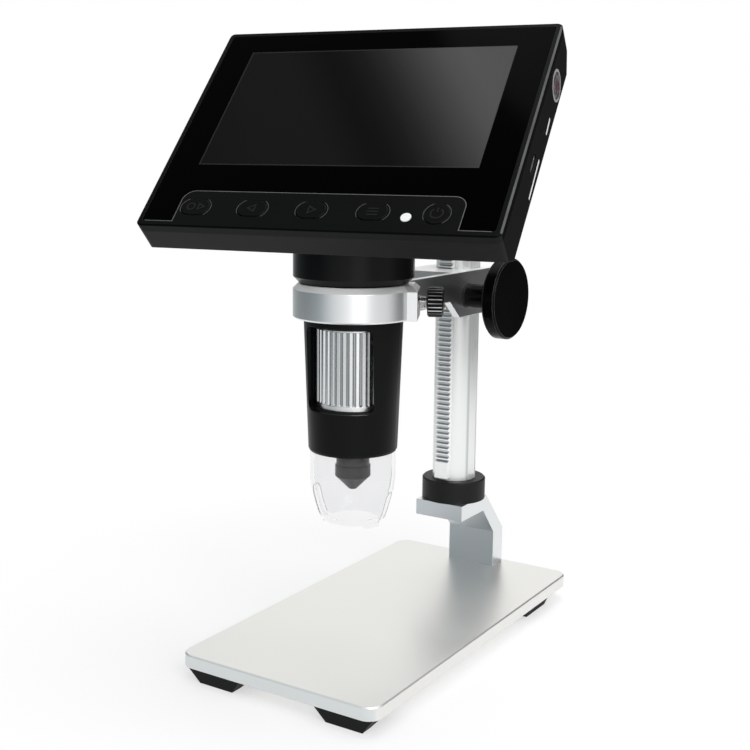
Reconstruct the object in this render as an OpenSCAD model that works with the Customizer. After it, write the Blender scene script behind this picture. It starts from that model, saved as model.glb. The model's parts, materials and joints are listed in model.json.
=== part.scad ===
// LCD digital microscope on a rack-and-pinion stand.
// The origin is the point of the stage where the optical axis meets it, +Z up, -Y to the front.
// The head (tube and monitor) is drawn round its own axis, then turned and set in the clamp ring.

/* [Base] */
// Width of the base plate
base_w = 77; // [66:1:110]
// Thickness of the base plate
base_t = 4.5; // [3:0.5:8]
// Corner radius of the base plate
base_r = 5; // [1:0.5:10]
// Bevel round the top edge of the base plate
base_bevel = 0.4; // [0.2:0.1:1]
// Distance from the optical axis forward to the plate's front edge
base_front = 46; // [40:1:60]
// Plate left behind the bracket's leg
base_margin = 2; // [1:0.5:20]
// Height of a rubber foot
foot_h = 5.5; // [3:0.5:9]
// Length of a foot against the plate
foot_l = 22; // [18:0.5:28]
// Width of a foot against the plate
foot_w = 11; // [8:0.5:14]
// Length of a foot on the desk
foot_tip_l = 13.6; // [8:0.2:16]
// Width of a foot on the desk
foot_tip_w = 4.5; // [3:0.5:7]

/* [Bracket and column] */
// Width of the bracket
bracket_w = 20; // [16:1:26]
// Height of the bracket's top face above the stage
bracket_h = 31.7; // [26:0.1:45]
// Thickness of the bracket's top plate
bracket_plate_t = 6; // [4:0.5:9]
// Thickness of the bracket's leg
bracket_leg_t = 8; // [6:0.5:12]
// Height at which the leg starts to lean forward
bracket_knee = 14.5; // [8:0.5:18]
// Distance from the column's axis back to the leg
bracket_reach = 16; // [13:0.5:20]
// Distance from the optical axis back to the column's axis
column_back = 72; // [66:1:90]
// Diameter of the column
column_d = 16.6; // [14:0.2:20]
// Height of the column's top above the stage
column_top = 155; // [148:1:190]
// Diameter of the black collar at the column's foot
collar_d = 24.5; // [22:0.5:30]
// Height of the collar
collar_h = 8.3; // [5:0.1:14]
// Width of the flat groove down each side of the column
keyway_w = 6; // [3:0.5:8]
// Depth of the side grooves
keyway_depth = 0.8; // [0.4:0.1:1.2]

/* [Rack and pinion] */
// Gear module
gear_module = 0.6; // [0.5:0.05:0.7]
// Teeth on the pinion
pinion_teeth = 17; // [16:1:19]
// Width of the rack
rack_w = 5.5; // [5:0.5:8]
// Distance from the column's axis forward to the rack's tooth tips
rack_face = 10.6; // [10.2:0.1:12]
// Face width of the pinion
pinion_w = 8; // [6:0.5:11]
// Diameter of the pinion shaft
shaft_d = 5; // [4:0.5:6]
// Diameter of the focus knob
knob_d = 29; // [22:0.5:36]
// Thickness of the focus knob's rim
knob_t = 5; // [3:0.2:8]
// Distance from the arm's side to the knob's outer face
knob_out = 18.1; // [12:0.1:24]

/* [Arm] */
// Height of the pinion's axis above the stage, with the arm where it rests
lift = 113; // [112:1:120]
// Width of the arm over its two side walls
arm_w = 24; // [23:0.5:30]
// Thickness of the arm's side walls
arm_wall = 2.6; // [2:0.1:3.4]
// Outer diameter of the clamp ring
ring_d = 40.2; // [38:0.2:46]
// Height of the clamp ring below its bevel
ring_h = 9.5; // [8:0.5:12]
// Bevel on the clamp ring's top edge
ring_bevel = 1.8; // [1:0.1:2.4]
// Direction of the thumb screw, turned from +X towards the column
clamp_turn = 27; // [15:1:35]
// Diameter of the thumb screw's head
clamp_head_d = 10; // [7:0.5:11]
// Thickness of the thumb screw's head
clamp_head_t = 5.2; // [3:0.1:7]

/* [Tube] */
// Turn of the head in the clamp ring, seen from above
head_turn = 10; // [-30:1:30]
// Length of the tube below the ring's top
tube_l = 56.3; // [56:0.1:62]
// Diameter of the tube just below the ring
tube_top_d = 33; // [32.4:0.2:33.2]
// Diameter of the tube at its lower end
tube_tip_d = 30; // [29.6:0.2:31]
// Diameter of the neck under the monitor
neck_d = 40; // [38:0.5:46]
// Width of the window over the focus drum
window_w = 23.4; // [18:0.2:24]
// Height of the window over the focus drum
window_h = 28.1; // [26.5:0.1:28.5]
// Corner radius of the window
window_r = 2.4; // [1:0.2:4]
// Diameter of the focus drum over its ridges
drum_d = 25; // [22:0.2:25.2]
// Ridges round the focus drum
drum_ridges = 36; // [24:2:48]
// Diameter of the lens barrel
barrel_d = 11.2; // [9:0.2:12]
// Length of the clear cap below the tube
cap_l = 24.5; // [20:0.5:30]
// Wall of the clear cap
cap_wall = 1.3; // [0.8:0.1:2]

/* [Monitor] */
// Width of the monitor
screen_w = 120.5; // [116:0.5:140]
// Height of the monitor above the middle of the display
screen_up = 37.5; // [37:0.5:44]
// Height of the monitor below the middle of the display
screen_down = 53.5; // [53:0.5:58]
// Depth of the monitor
screen_t = 15.8; // [15:0.2:20]
// Lean of the screen, measured up from level
screen_tilt = 45; // [40:1:55]
// Corner radius of the monitor
screen_r = 2; // [1:0.5:4]
// Wall of the monitor's rear housing
screen_wall = 2; // [1.4:0.1:2.4]
// Visible rim round the cover glass
glass_rim = 1.9; // [1.2:0.1:3]
// Thickness of the cover glass
glass_t = 1.5; // [1:0.1:2]
// Distance between two neighbouring keys
key_pitch = 20.1; // [18:0.1:21]
// Length of an oval key
key_l = 10.4; // [8:0.2:12]
// Width of an oval key
key_w = 7; // [5:0.2:8]
// Diameter of the round power key
power_d = 8.6; // [6:0.2:9]

/* [Hidden] */

ROUND = 96;          // segments of the large round forms
SMALL = 40;          // segments of holes, pins and screws
FAR = 200;           // longer than anything that it cuts
CUT = 1;             // how far a cutter runs past a face

run_gap = 0.05;      // radial gap of a shaft in its bore, and of a screw in its thread
slide_gap = 0.1;     // radial gap of the column in the arm
turn_gap = 0.15;     // radial gap of the head in the clamp ring
seat_gap = 0.3;      // gap between a piece and the face that it rests on

// --- stand ---
plate_back = column_back + bracket_reach + bracket_leg_t + base_margin;
base_l = base_front + plate_back;
base_mid = (plate_back - base_front) / 2;
foot_edge = 1;                       // plate left outside a front foot
foot_side = 2.6;                     // plate left outside a rear foot
foot_lean = 1.4;                     // lean of a foot's outer face
front_foot_x = [13.7 - base_w / 2, base_w / 2 - 12.6];     // middles of the two front feet
front_foot_w = foot_w + 7;           // a front foot reaches further back than its tip
rear_foot_l = foot_l + 2.5;
foot_back = 21;                      // middle of a rear foot to the plate's back edge
leg_front = column_back + bracket_reach;
plate_front = column_back - 11.6;    // front edge of the bracket's top plate
lean_top = leg_front - 9.5;          // where the leaning part meets the underside of the plate
screw_x = 5.4;                       // half the distance between the two bracket screws
m4_r = 2;
m4_head_r = 4;
m4_head_h = 2.3;
bracket_screw_l = 9;                 // reach of a bracket screw into the leg
m6_r = 3;
m6_head_r = 5.6;
m6_head_h = 2.6;
column_screw_l = 14;                 // reach of the column screw into the column
collar_top = bracket_h + collar_h;
column_r = column_d / 2;

// --- rack and pinion ---
pressure = 20;                       // pressure angle
backlash = 0.08;
addendum = 0.9 * gear_module;
dedendum = 1.25 * gear_module;
gear_pitch = PI * gear_module;
pitch_r = pinion_teeth * gear_module / 2;
rack_seat = 5.5;                     // column axis to the back of the rack
rack_gap = 1.2;                      // rack's lower end to the collar
rack_blank = 6.5;                    // plain length at the rack's lower end
rack_end = 1.5;                      // plain length at its upper end
rack_z0 = collar_top + rack_gap;
rack_z1 = column_top - seat_gap;
rack_pitch_line = rack_face - addendum;
pinion_y = column_back - rack_pitch_line - pitch_r;
shaft_r = shaft_d / 2;
bush_r = shaft_r + 1;
bush_flange_r = shaft_r + 2;
bush_flange_t = 0.8;
knob_hub_r = 4.4;
knob_chamfer = 0.6;
knob_x1 = arm_w / 2 + knob_out;
knob_x0 = arm_w / 2 + bush_flange_t + 0.2;
shaft_x1 = knob_x1 - 3;
shaft_x0 = -arm_w / 2 - 3.4;
clip_t = 0.8;
cap_plug_r = 3;
cap_plug_l = 6;

// --- arm ---
arm_rise = 8.8;                      // pinion's axis to the arm's top
arm_drop = 7.6;                      // and to the sleeve's underside
sleeve_wall = 7.5;
arm_top = lift + arm_rise;
arm_bottom = lift - arm_drop;
wall_bottom = lift - 1.2;            // underside of the side walls near the ring
ring_r = ring_d / 2;
ring_top = arm_top;
ring_edge = ring_top - ring_bevel;   // where the ring's bevel starts
ring_z0 = ring_edge - ring_h;
ring_foot_bevel = 0.5;
gear_wall = 2.1;
gear_front = pinion_y - pitch_r - addendum - seat_gap - gear_wall;   // front of the gear housing
roof_t = 2.5;
cut_y = gear_front + 2.8;            // end of the sloping cut under the walls
cut_run = wall_bottom - arm_bottom + 1;
sleeve_front = column_back - sleeve_wall;    // where the solid sleeve round the column starts
rack_slot = rack_w / 2 + 0.3;
clamp_pad = ring_r + 1.4;            // optical axis to the flat that the thumb screw stands on
clamp_pad_w = 17;
clamp_pad_top = ring_top - 0.1;
clamp_z = (ring_z0 + ring_edge) / 2 + 0.7;
clamp_r = 2.1;
clamp_head_in = clamp_pad + 2.9;

// --- head, drawn with z = 0 at the neck's shoulder ---
head_z = ring_top + seat_gap;
tube_top_r = tube_top_d / 2;
tube_tip_r = tube_tip_d / 2;
tube_z0 = -tube_l;
tube_neck_r = tube_top_r + 0.1;      // the straight part that stands in the ring
ring_bore = tube_neck_r + turn_gap;
tube_cone_top = ring_z0 - head_z - 0.8;
chamber_r = 13;                      // bore that holds the drum and the boards
spigot_r = 13.2;
spigot_l = 4;
spigot_wall = 1.2;
led_board_t = 1.2;
led_board_z = tube_z0 + spigot_l + 0.4;
led_ring_r = 9.6;
led_side = 3;
led_t = 1.8;
ribbon_w = 8;
ribbon_t = 0.4;
led_shelf_z = led_board_z + led_board_t;
led_shelf_t = 2.1;
guide_z = led_shelf_z + led_shelf_t;
guide_h = 7.1;
guide_flange = 2;
drum_z = guide_z + guide_h + seat_gap;
drum_h = 26.4;
drum_rim_h = 2.3;
drum_bore = 8.2;
drum_r = drum_d / 2;
window_z = drum_z - 0.6;
holder_z = drum_z + drum_h + seat_gap;
holder_t = 2.6;
sensor_board_t = 1.2;
tube_end = 8.9;                      // top end of the tube, inside the neck
neck_r = neck_d / 2;
neck_bevel = 2;
neck_bore = 17.3;
web_t = 2.5;
cable_r = 6;
neck_screw_r = 1.1;
neck_screw_l = 7;
neck_screw_ring = (chamber_r + tube_neck_r) / 2;

// --- lens barrel ---
barrel_r = barrel_d / 2;
nose_r = barrel_r + 0.4;
nose_tip_r = 1.4;
nose_reach = 13.9;                   // tube end to the tip of the nose
nose_z = tube_z0 - nose_reach;
nose_cone = 4.6;
nose_body = 3.7;
barrel_head_r = 7.6;                 // threaded upper part inside the drum
barrel_head_z = guide_z + guide_h + 5.9;
barrel_top = barrel_head_z + 13.5;
lens_r = barrel_r - 1.6;
lens_z = nose_z + nose_cone + 0.5;
lens_t = 2.5;
rear_lens_z = barrel_top - 10;
aperture_r = 1;

// --- clear cap ---
cap_r = tube_tip_r - 0.6;
cap_top = tube_z0 - 0.1;
cap_z0 = cap_top - cap_l + 0.1;
cap_straight = 9.7;                  // straight part of the cap
cap_mouth_r = cap_r - 5.8;
// its rounded lower part: [fall in radius, height as a share of the rounded part]
cap_curve = [[0, 1], [0.5, 0.75], [1.3, 0.53], [2.2, 0.3], [3.1, 0.12], [3.8, 0.03], [4.6, 0]];
cap_lip_turn = -31;                  // where the lip for the finger sits
cap_lip = [2.4, 5.2, 1.4];           // its reach, width and height
cap_lip_drop = 0.5;
cap_slot_w = 4.4;
cap_slot_h = 10.7;

// --- monitor, drawn with z = 0 at the front of the glass and the display's middle at the origin ---
screen_y = 1.6;
screen_z = 56.6;
split_z = -3.2;                      // seam between the front frame and the rear housing
top_chamfer = [6.5, 7.8];            // rise and depth of the long bevel behind the top edge
low_chamfer = [5, 4.8];              // rise and depth of the bevel behind the lower edge
glass_gap = 0.15;
glass_foot = 1.9;                    // rim below the glass
key_shift = 0.9;                     // the row of keys sits this far to the left
panel_end = 6.2;                     // middle of the outer key to the panel's end
panel_w = 2 * (2 * key_pitch + key_shift + panel_end);  // raised key panel that the glass is cut round
panel_top = -38.6;
panel_r = 4;
lcd_view = [95.04, 53.86];           // picture area of a 4.3 inch 16:9 display
lcd_glass_t = 1.2;
lcd_t = 3;
board_z = split_z - lcd_t - 0.3;
board_t = 1.2;
board_top = 30;
board_low = -50.5;
key_y = -45.5;
key_x0 = -2 * key_pitch - key_shift; // middle of the first key
key_out = 0.3;                       // how far a key stands proud of the panel
key_gap = 0.25;
key_bevel = 0.3;
key_travel = 0.7;
key_flange = 0.9;
key_flange_t = 1.2;
key_back = split_z - 0.2 - key_flange_t;
switch_z = key_back - key_travel - 0.2;
indicator_at = [key_x0 + 3.5 * key_pitch + 0.85, -47.2];
indicator_r = 1.75;
board_back = board_z - board_t;
board_ear_w = screen_w - 2 * screen_wall - 2.5;     // board over the ears that carry the sockets
board_ear = [-32, 13];
port_y = -16.2;                      // USB inlet in the right side
port_size = [7.6, 2.6];
port_z = board_back - port_size[1] / 2;
reset_y = -2.4;
reset_h = 2.4;
card_y = -16;
card_size = [12.4, 1.6];
card_z = board_back - card_size[1] / 2;
boss_r = 2.6;
boss_x = screen_w / 2 - screen_wall - boss_r - 0.25;
boss_y = [28, -45];
lcd_side_gap = 0.1;                  // display to the bosses beside it
lcd_top_gap = 1.9;                   // display to the housing's top wall
lcd_size = [2 * (boss_x - boss_r - lcd_side_gap), 2 * (screen_up - screen_wall - lcd_top_gap)];
board_side_gap = 0.8;                // main board to the bosses beside it
board_w = 2 * (boss_x - boss_r - board_side_gap);
chip_t = 1.2;
// each chip: side, distance from its middle to the board's lower edge and to the nearer end, and which end
chips = [[14, 30.5, 16, -1], [8, 10.5, 18, -1], [9, 12.5, 22, 1], [6, 26.5, 32, 1]];
card_tray_l = 15;
card_tray_wall = 0.4;
switch_size = [5, 4];
reset_size = 3;
boss_joint = split_z - 2;            // where the two halves' bosses meet
boss_screw_r = 1;
boss_screw_top = -glass_t - 0.7;
boss_head_r = 1.9;
boss_head_h = 1.5;
boss_seat = -9.6;                    // where the screw heads sit
battery_size = [62, 30, 5.2];
battery_at = [0, 14];

// ---------- shared shapes ----------

// outline drawn as (y, z), extruded along X about the middle plane
module side_extrude(w) rotate([90, 0, 90]) linear_extrude(w, center = true) children();

module rounded_rect(w, l, r) {
    square([w - 2 * r, l], center = true);
    square([w, l - 2 * r], center = true);
    for (x = [-1, 1], y = [-1, 1])
        translate([x * (w / 2 - r), y * (l / 2 - r)]) circle(r, $fn = SMALL);
}

// plate with rounded corners and a bevel c round its top edge
module bevelled_slab(w, l, t, r, c) {
    linear_extrude(t - c) rounded_rect(w, l, r);
    translate([0, 0, t - c]) {
        rotate([90, 0, 0]) linear_extrude(l - 2 * r, center = true)
            polygon([[-w / 2, 0], [w / 2, 0], [w / 2 - c, c], [c - w / 2, c]]);
        side_extrude(w - 2 * r)
            polygon([[-l / 2, 0], [l / 2, 0], [l / 2 - c, c], [c - l / 2, c]]);
        for (x = [-1, 1], y = [-1, 1])
            translate([x * (w / 2 - r), y * (l / 2 - r), 0])
                cylinder(h = c, r1 = r, r2 = r - c, $fn = SMALL);
    }
}

module stadium(l, w) {
    square([l - w, w], center = true);
    for (x = [-1, 1]) translate([x * (l - w) / 2, 0]) circle(w / 2, $fn = SMALL);
}

// ring of material between two radii
module tube(h, r, bore) difference() {
    cylinder(h = h, r = r, $fn = ROUND);
    translate([0, 0, -CUT]) cylinder(h = h + 2 * CUT, r = bore, $fn = ROUND);
}

// outline with n straight ridges, from radius r_low up to radius r_high
function ridge_outline(n, r_low, r_high) = [
    for (i = [0:n - 1], s = [[-0.42, r_low], [-0.2, r_high], [0.2, r_high], [0.42, r_low]])
        s[1] * [cos((i + s[0]) * 360 / n), sin((i + s[0]) * 360 / n)]
];

module on_head() translate([0, 0, head_z]) rotate([0, 0, head_turn]) children();
module on_screen() translate([0, screen_y, screen_z]) rotate([screen_tilt, 0, 0]) children();
module on_monitor() on_head() on_screen() children();
module on_clamp() translate([0, 0, clamp_z]) rotate([0, 0, clamp_turn]) rotate([0, 90, 0]) children();
module on_pinion() translate([0, pinion_y, lift]) rotate([0, 90, 0]) children();

// ---------- stand ----------

module base_plate() color("gainsboro") difference() {
    translate([0, base_mid, -base_t]) bevelled_slab(base_w, base_l, base_t, base_r, base_bevel);
    for (x = [-1, 1]) translate([x * screw_x, leg_front + bracket_leg_t / 2, -base_t]) {
        translate([0, 0, -CUT]) cylinder(h = base_t + 2 * CUT, r = m4_r + 0.2, $fn = SMALL);
        cylinder(h = m4_head_h, r1 = m4_head_r + 0.2, r2 = m4_r + 0.2, $fn = SMALL);
    }
}

// tapered rubber foot: its length l along X, its steep outer face to -Y, its top at z = 0
module foot(l, w) intersection() {
    tip = (l - foot_l + foot_tip_l) / 2;
    rotate([90, 0, 0]) linear_extrude(w + 2 * CUT, center = true)
        polygon([[-l / 2, 0], [l / 2, 0], [tip, -foot_h], [-tip, -foot_h]]);
    side_extrude(l + 2 * CUT)
        polygon([[-w / 2, 0], [w / 2, 0],
            [foot_lean + foot_tip_w - w / 2, -foot_h], [foot_lean - w / 2, -foot_h]]);
}

module front_feet() color("dimgray")
    for (x = front_foot_x)
        translate([x, foot_edge + front_foot_w / 2 - base_front, -base_t]) foot(foot_l, front_foot_w);

module rear_feet() color("dimgray")
    for (x = [-1, 1])
        translate([x * (base_w / 2 - foot_side - foot_w / 2), plate_back - foot_back, -base_t])
            rotate([0, 0, x * 90]) foot(rear_foot_l, foot_w);

module bracket() color("lightgray") difference() {
    side_extrude(bracket_w) polygon([
        [leg_front, 0], [leg_front + bracket_leg_t, 0], [leg_front + bracket_leg_t, bracket_knee],
        [leg_front + bracket_leg_t - (bracket_h - bracket_knee) * 0.9, bracket_h],
        [plate_front, bracket_h], [plate_front, bracket_h - bracket_plate_t],
        [lean_top, bracket_h - bracket_plate_t], [leg_front, bracket_knee]]);
    for (x = [-1, 1]) translate([x * screw_x, leg_front + bracket_leg_t / 2, -CUT])
        cylinder(h = bracket_screw_l + 1 + CUT, r = m4_r + run_gap, $fn = SMALL);
    translate([0, column_back, bracket_h - bracket_plate_t]) {
        translate([0, 0, -CUT]) cylinder(h = bracket_plate_t + 2 * CUT, r = m6_r + 0.2, $fn = SMALL);
        cylinder(h = m6_head_h, r1 = m6_head_r + 0.2, r2 = m6_r + 0.2, $fn = SMALL);
    }
}

module bracket_screws() color("silver")
    for (x = [-1, 1]) translate([x * screw_x, leg_front + bracket_leg_t / 2, -base_t]) difference() {
        union() {
            cylinder(h = m4_head_h, r1 = m4_head_r, r2 = m4_r, $fn = SMALL);
            cylinder(h = base_t + bracket_screw_l, r = m4_r, $fn = SMALL);
        }
        translate([0, 0, -CUT]) cylinder(h = 1.4 + CUT, r = 1.4, $fn = 6);
    }

module column_screw() color("silver")
    translate([0, column_back, bracket_h - bracket_plate_t]) difference() {
        union() {
            cylinder(h = m6_head_h, r1 = m6_head_r, r2 = m6_r, $fn = SMALL);
            cylinder(h = bracket_plate_t + column_screw_l, r = m6_r, $fn = SMALL);
        }
        translate([0, 0, -CUT]) cylinder(h = 2.2 + CUT, r = 2.3, $fn = 6);
    }

module collar() color([0.16, 0.17, 0.17]) translate([0, column_back, bracket_h])
    rotate_extrude($fn = ROUND) polygon([
        [column_r + run_gap, 0], [collar_d / 2, 0], [collar_d / 2, collar_h - 0.5],
        [collar_d / 2 - 0.5, collar_h], [column_r + run_gap, collar_h]]);

module column() color("whitesmoke") translate([0, column_back, 0]) difference() {
    translate([0, 0, bracket_h]) cylinder(h = column_top - bracket_h, r = column_r, $fn = ROUND);
    translate([-rack_w / 2 - run_gap, -FAR, rack_z0])
        cube([rack_w + 2 * run_gap, FAR - rack_seat, FAR]);
    for (x = [-1, 1]) translate([x * (column_r - keyway_depth + FAR / 2), 0, 0])
        cube([FAR, keyway_w, 2 * FAR], center = true);
    translate([0, 0, bracket_h - CUT])
        cylinder(h = column_screw_l + 1 + CUT, r = m6_r + run_gap, $fn = SMALL);
    translate([0, 0, column_top - cap_plug_l - 1])
        cylinder(h = FAR, r = cap_plug_r + run_gap, $fn = SMALL);
}

// straight-sided rack teeth, one of them level with the pinion's axis; outline as (-y, z)
tooth_low = ceil((rack_z0 + rack_blank - lift) / gear_pitch);
tooth_high = floor((rack_z1 - rack_end - lift) / gear_pitch);
tooth_half = gear_pitch / 4 - backlash / 2;
module rack() color("darkgray") translate([0, column_back, 0])
    side_extrude(rack_w) mirror([1, 0]) polygon(concat(
        [[rack_seat, rack_z0], [rack_face - addendum - dedendum, rack_z0]],
        [[rack_face, rack_z0], [rack_face, lift + tooth_low * gear_pitch - gear_pitch / 2 - tooth_half]],
        [for (i = [tooth_low:tooth_high], s = [
            [-tooth_half - dedendum * tan(pressure), -dedendum],
            [-tooth_half + addendum * tan(pressure), addendum],
            [tooth_half - addendum * tan(pressure), addendum],
            [tooth_half + dedendum * tan(pressure), -dedendum]])
            [rack_pitch_line + s[1], lift + i * gear_pitch + s[0]]],
        [[rack_pitch_line - dedendum, rack_z1], [rack_seat, rack_z1]]));

module column_cap() color([0.16, 0.17, 0.17]) translate([0, column_back, column_top]) {
    rotate_extrude($fn = ROUND) polygon([[0, 0], [column_r + 1, 0], [column_r + 1, 2.2],
        [column_r + 0.2, 3], [0, 3]]);
    translate([0, 0, -cap_plug_l]) cylinder(h = cap_plug_l, r = cap_plug_r, $fn = SMALL);
}

// ---------- arm ----------

module arm() color("silver") difference() {
    union() {
        arm_block();
        rotate_extrude($fn = ROUND) polygon([
            [ring_bore - CUT, ring_z0], [ring_r - ring_foot_bevel, ring_z0],
            [ring_r, ring_z0 + ring_foot_bevel], [ring_r, ring_edge],
            [ring_r - ring_bevel, ring_top], [ring_bore - CUT, ring_top]]);
        clamp_flat();
    }
    translate([0, 0, arm_bottom]) cylinder(h = arm_top, r = ring_bore, $fn = ROUND);
    translate([0, column_back, arm_bottom - CUT])
        cylinder(h = arm_top, r = column_r + slide_gap, $fn = ROUND);
    translate([-rack_slot, column_back - rack_face - 0.4, arm_bottom - CUT])
        cube([2 * rack_slot, rack_face, arm_top]);
    on_pinion() cylinder(h = arm_w + 2 * CUT, r = bush_r + run_gap, center = true, $fn = SMALL);
    on_clamp() cylinder(h = FAR, r = clamp_r + run_gap, $fn = SMALL);
}

// two side walls, the gear housing and the sleeve round the column
module arm_block() difference() {
    intersection() {
        translate([0, 0, arm_bottom]) linear_extrude(arm_top - arm_bottom) {
            translate([-arm_w / 2, 0]) square([arm_w, column_back]);
            translate([0, column_back]) circle(arm_w / 2, $fn = ROUND);
        }
        side_extrude(arm_w + 2 * CUT) polygon([
            [0, arm_top + CUT], [0, wall_bottom], [cut_y - cut_run, wall_bottom], [cut_y, arm_bottom],
            [column_back + arm_w, arm_bottom], [column_back + arm_w, arm_top + CUT]]);
    }
    translate([arm_wall - arm_w / 2, -CUT, arm_bottom - CUT])
        cube([arm_w - 2 * arm_wall, gear_front + CUT, arm_top]);
    side_extrude(arm_w - 2 * arm_wall) polygon([
        [gear_front - CUT, arm_bottom - CUT], [sleeve_front, arm_bottom - CUT],
        [sleeve_front, arm_top - roof_t], [gear_front + gear_wall, arm_top - roof_t],
        [gear_front + gear_wall, wall_bottom], [gear_front - CUT, wall_bottom]]);
}

// flat on the ring where the thumb screw goes in, bevelled like the ring
module clamp_flat() rotate([0, 0, clamp_turn]) intersection() {
    rotate([90, 0, 0]) linear_extrude(clamp_pad_w, center = true) polygon([
        [ring_r / 2, ring_z0], [clamp_pad, ring_z0], [clamp_pad, clamp_pad_top - ring_bevel],
        [clamp_pad - ring_bevel, clamp_pad_top], [ring_r / 2, clamp_pad_top]]);
    side_extrude(2 * FAR) polygon([
        [-clamp_pad_w / 2, ring_z0], [clamp_pad_w / 2, ring_z0],
        [clamp_pad_w / 2, clamp_pad_top - ring_bevel], [clamp_pad_w / 2 - ring_bevel, clamp_pad_top],
        [ring_bevel - clamp_pad_w / 2, clamp_pad_top], [-clamp_pad_w / 2, clamp_pad_top - ring_bevel]]);
}

module shaft_bushes() color([0.1, 0.1, 0.1])
    for (side = [0, 1]) mirror([side, 0, 0]) translate([arm_w / 2, pinion_y, lift]) rotate([0, 90, 0])
        difference() {
            union() {
                cylinder(h = bush_flange_t, r = bush_flange_r, $fn = SMALL);
                translate([0, 0, -arm_wall]) cylinder(h = arm_wall, r = bush_r, $fn = SMALL);
            }
            translate([0, 0, -arm_wall - CUT])
                cylinder(h = arm_wall + bush_flange_t + 2 * CUT, r = shaft_r + run_gap, $fn = SMALL);
        }

// ---------- focus knob and pinion ----------

module focus_knob() color([0.08, 0.08, 0.08]) on_pinion() difference() {
    rotate_extrude($fn = ROUND) polygon([
        [0, knob_x0], [knob_hub_r, knob_x0], [knob_hub_r, knob_x1 - knob_t - 3],
        [knob_hub_r + 2, knob_x1 - knob_t], [knob_d / 2 - knob_chamfer, knob_x1 - knob_t],
        [knob_d / 2, knob_x1 - knob_t + knob_chamfer], [knob_d / 2, knob_x1 - knob_chamfer],
        [knob_d / 2 - knob_chamfer, knob_x1], [0, knob_x1]]);
    translate([0, 0, knob_x0 - CUT]) cylinder(h = shaft_x1 - knob_x0 + CUT, r = shaft_r + run_gap, $fn = SMALL);
    translate([0, 0, set_screw_x]) rotate([-90, 0, 0])
        cylinder(h = FAR, r = set_screw_r + run_gap, $fn = SMALL);
}
set_screw_r = 1.5;
set_screw_x = knob_x0 + 4;

module knob_set_screw() color("dimgray") on_pinion() translate([0, 0, set_screw_x]) rotate([-90, 0, 0])
    translate([0, 0, shaft_r + 0.1]) difference() {
        cylinder(h = knob_hub_r - shaft_r - 0.3, r = set_screw_r, $fn = SMALL);
        translate([0, 0, 0.7]) cylinder(h = 3, r = 0.75, $fn = 6);
    }

module pinion_shaft() color("silver") on_pinion() difference() {
    translate([0, 0, shaft_x0]) cylinder(h = shaft_x1 - shaft_x0 - 0.2, r = shaft_r, $fn = SMALL);
    translate([0, 0, -arm_w / 2 - bush_flange_t - 0.2 - clip_t - run_gap])
        tube(clip_t + 2 * run_gap, shaft_r + CUT, shaft_r - 0.5);
}

module shaft_clip() color("dimgray") on_pinion()
    translate([0, 0, -arm_w / 2 - bush_flange_t - 0.2 - clip_t]) difference() {
        cylinder(h = clip_t, r = shaft_r + 1.6, $fn = SMALL);
        translate([0, 0, -CUT]) cylinder(h = clip_t + 2 * CUT, r = shaft_r - 0.45, $fn = SMALL);
        translate([-FAR, -shaft_r + 1, -CUT]) cube([FAR, 2 * shaft_r - 2, clip_t + 2 * CUT]);
    }

function involute(a) = tan(a) * 180 / PI - a;
// angle between a tooth's middle and its flank at radius r
function flank(r) = 90 / pinion_teeth - backlash / 2 / pitch_r * 180 / PI
    + involute(pressure) - involute(acos(base_circle / max(r, base_circle)));
base_circle = pitch_r * cos(pressure);
gear_tip = pitch_r + addendum;
gear_root = pitch_r - dedendum;
flank_radii = [for (k = [0:4]) base_circle + (gear_tip - base_circle) * k / 4];
function polar(r, a) = r * [cos(a), sin(a)];
function pinion_outline() = [for (i = [0:pinion_teeth - 1])
    let (mid = (i + 0.5) * 360 / pinion_teeth)
    each concat(
        [polar(gear_root, mid - flank(base_circle))],
        [for (r = flank_radii) polar(r, mid - flank(r))],
        [for (k = [4:-1:0]) polar(flank_radii[k], mid + flank(flank_radii[k]))],
        [polar(gear_root, mid + flank(base_circle))])];

module pinion() color("darkkhaki") difference() {
    translate([0, pinion_y, lift]) side_extrude(pinion_w) polygon(pinion_outline());
    on_pinion() cylinder(h = pinion_w + 2 * CUT, r = shaft_r + run_gap / 2, center = true, $fn = SMALL);
}

// ---------- thumb screw ----------

module clamp_screw() color("silver") on_clamp()
    translate([0, 0, ring_bore]) cylinder(h = clamp_head_in + 3 - ring_bore, r = clamp_r, $fn = SMALL);

module clamp_screw_head() color([0.08, 0.08, 0.08]) on_clamp() translate([0, 0, clamp_head_in])
    difference() {
        intersection() {
            linear_extrude(clamp_head_t) polygon(ridge_outline(24, clamp_head_d / 2 - 0.4, clamp_head_d / 2));
            rotate_extrude($fn = SMALL) polygon([[0, 0], [clamp_head_d / 2 - 0.5, 0],
                [clamp_head_d / 2 + 0.1, 0.6], [clamp_head_d / 2 + 0.1, clamp_head_t - 0.6],
                [clamp_head_d / 2 - 0.5, clamp_head_t], [0, clamp_head_t]]);
        }
        translate([0, 0, -CUT]) cylinder(h = 3 + CUT, r = clamp_r + run_gap / 2, $fn = SMALL);
    }

// ---------- tube ----------

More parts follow.
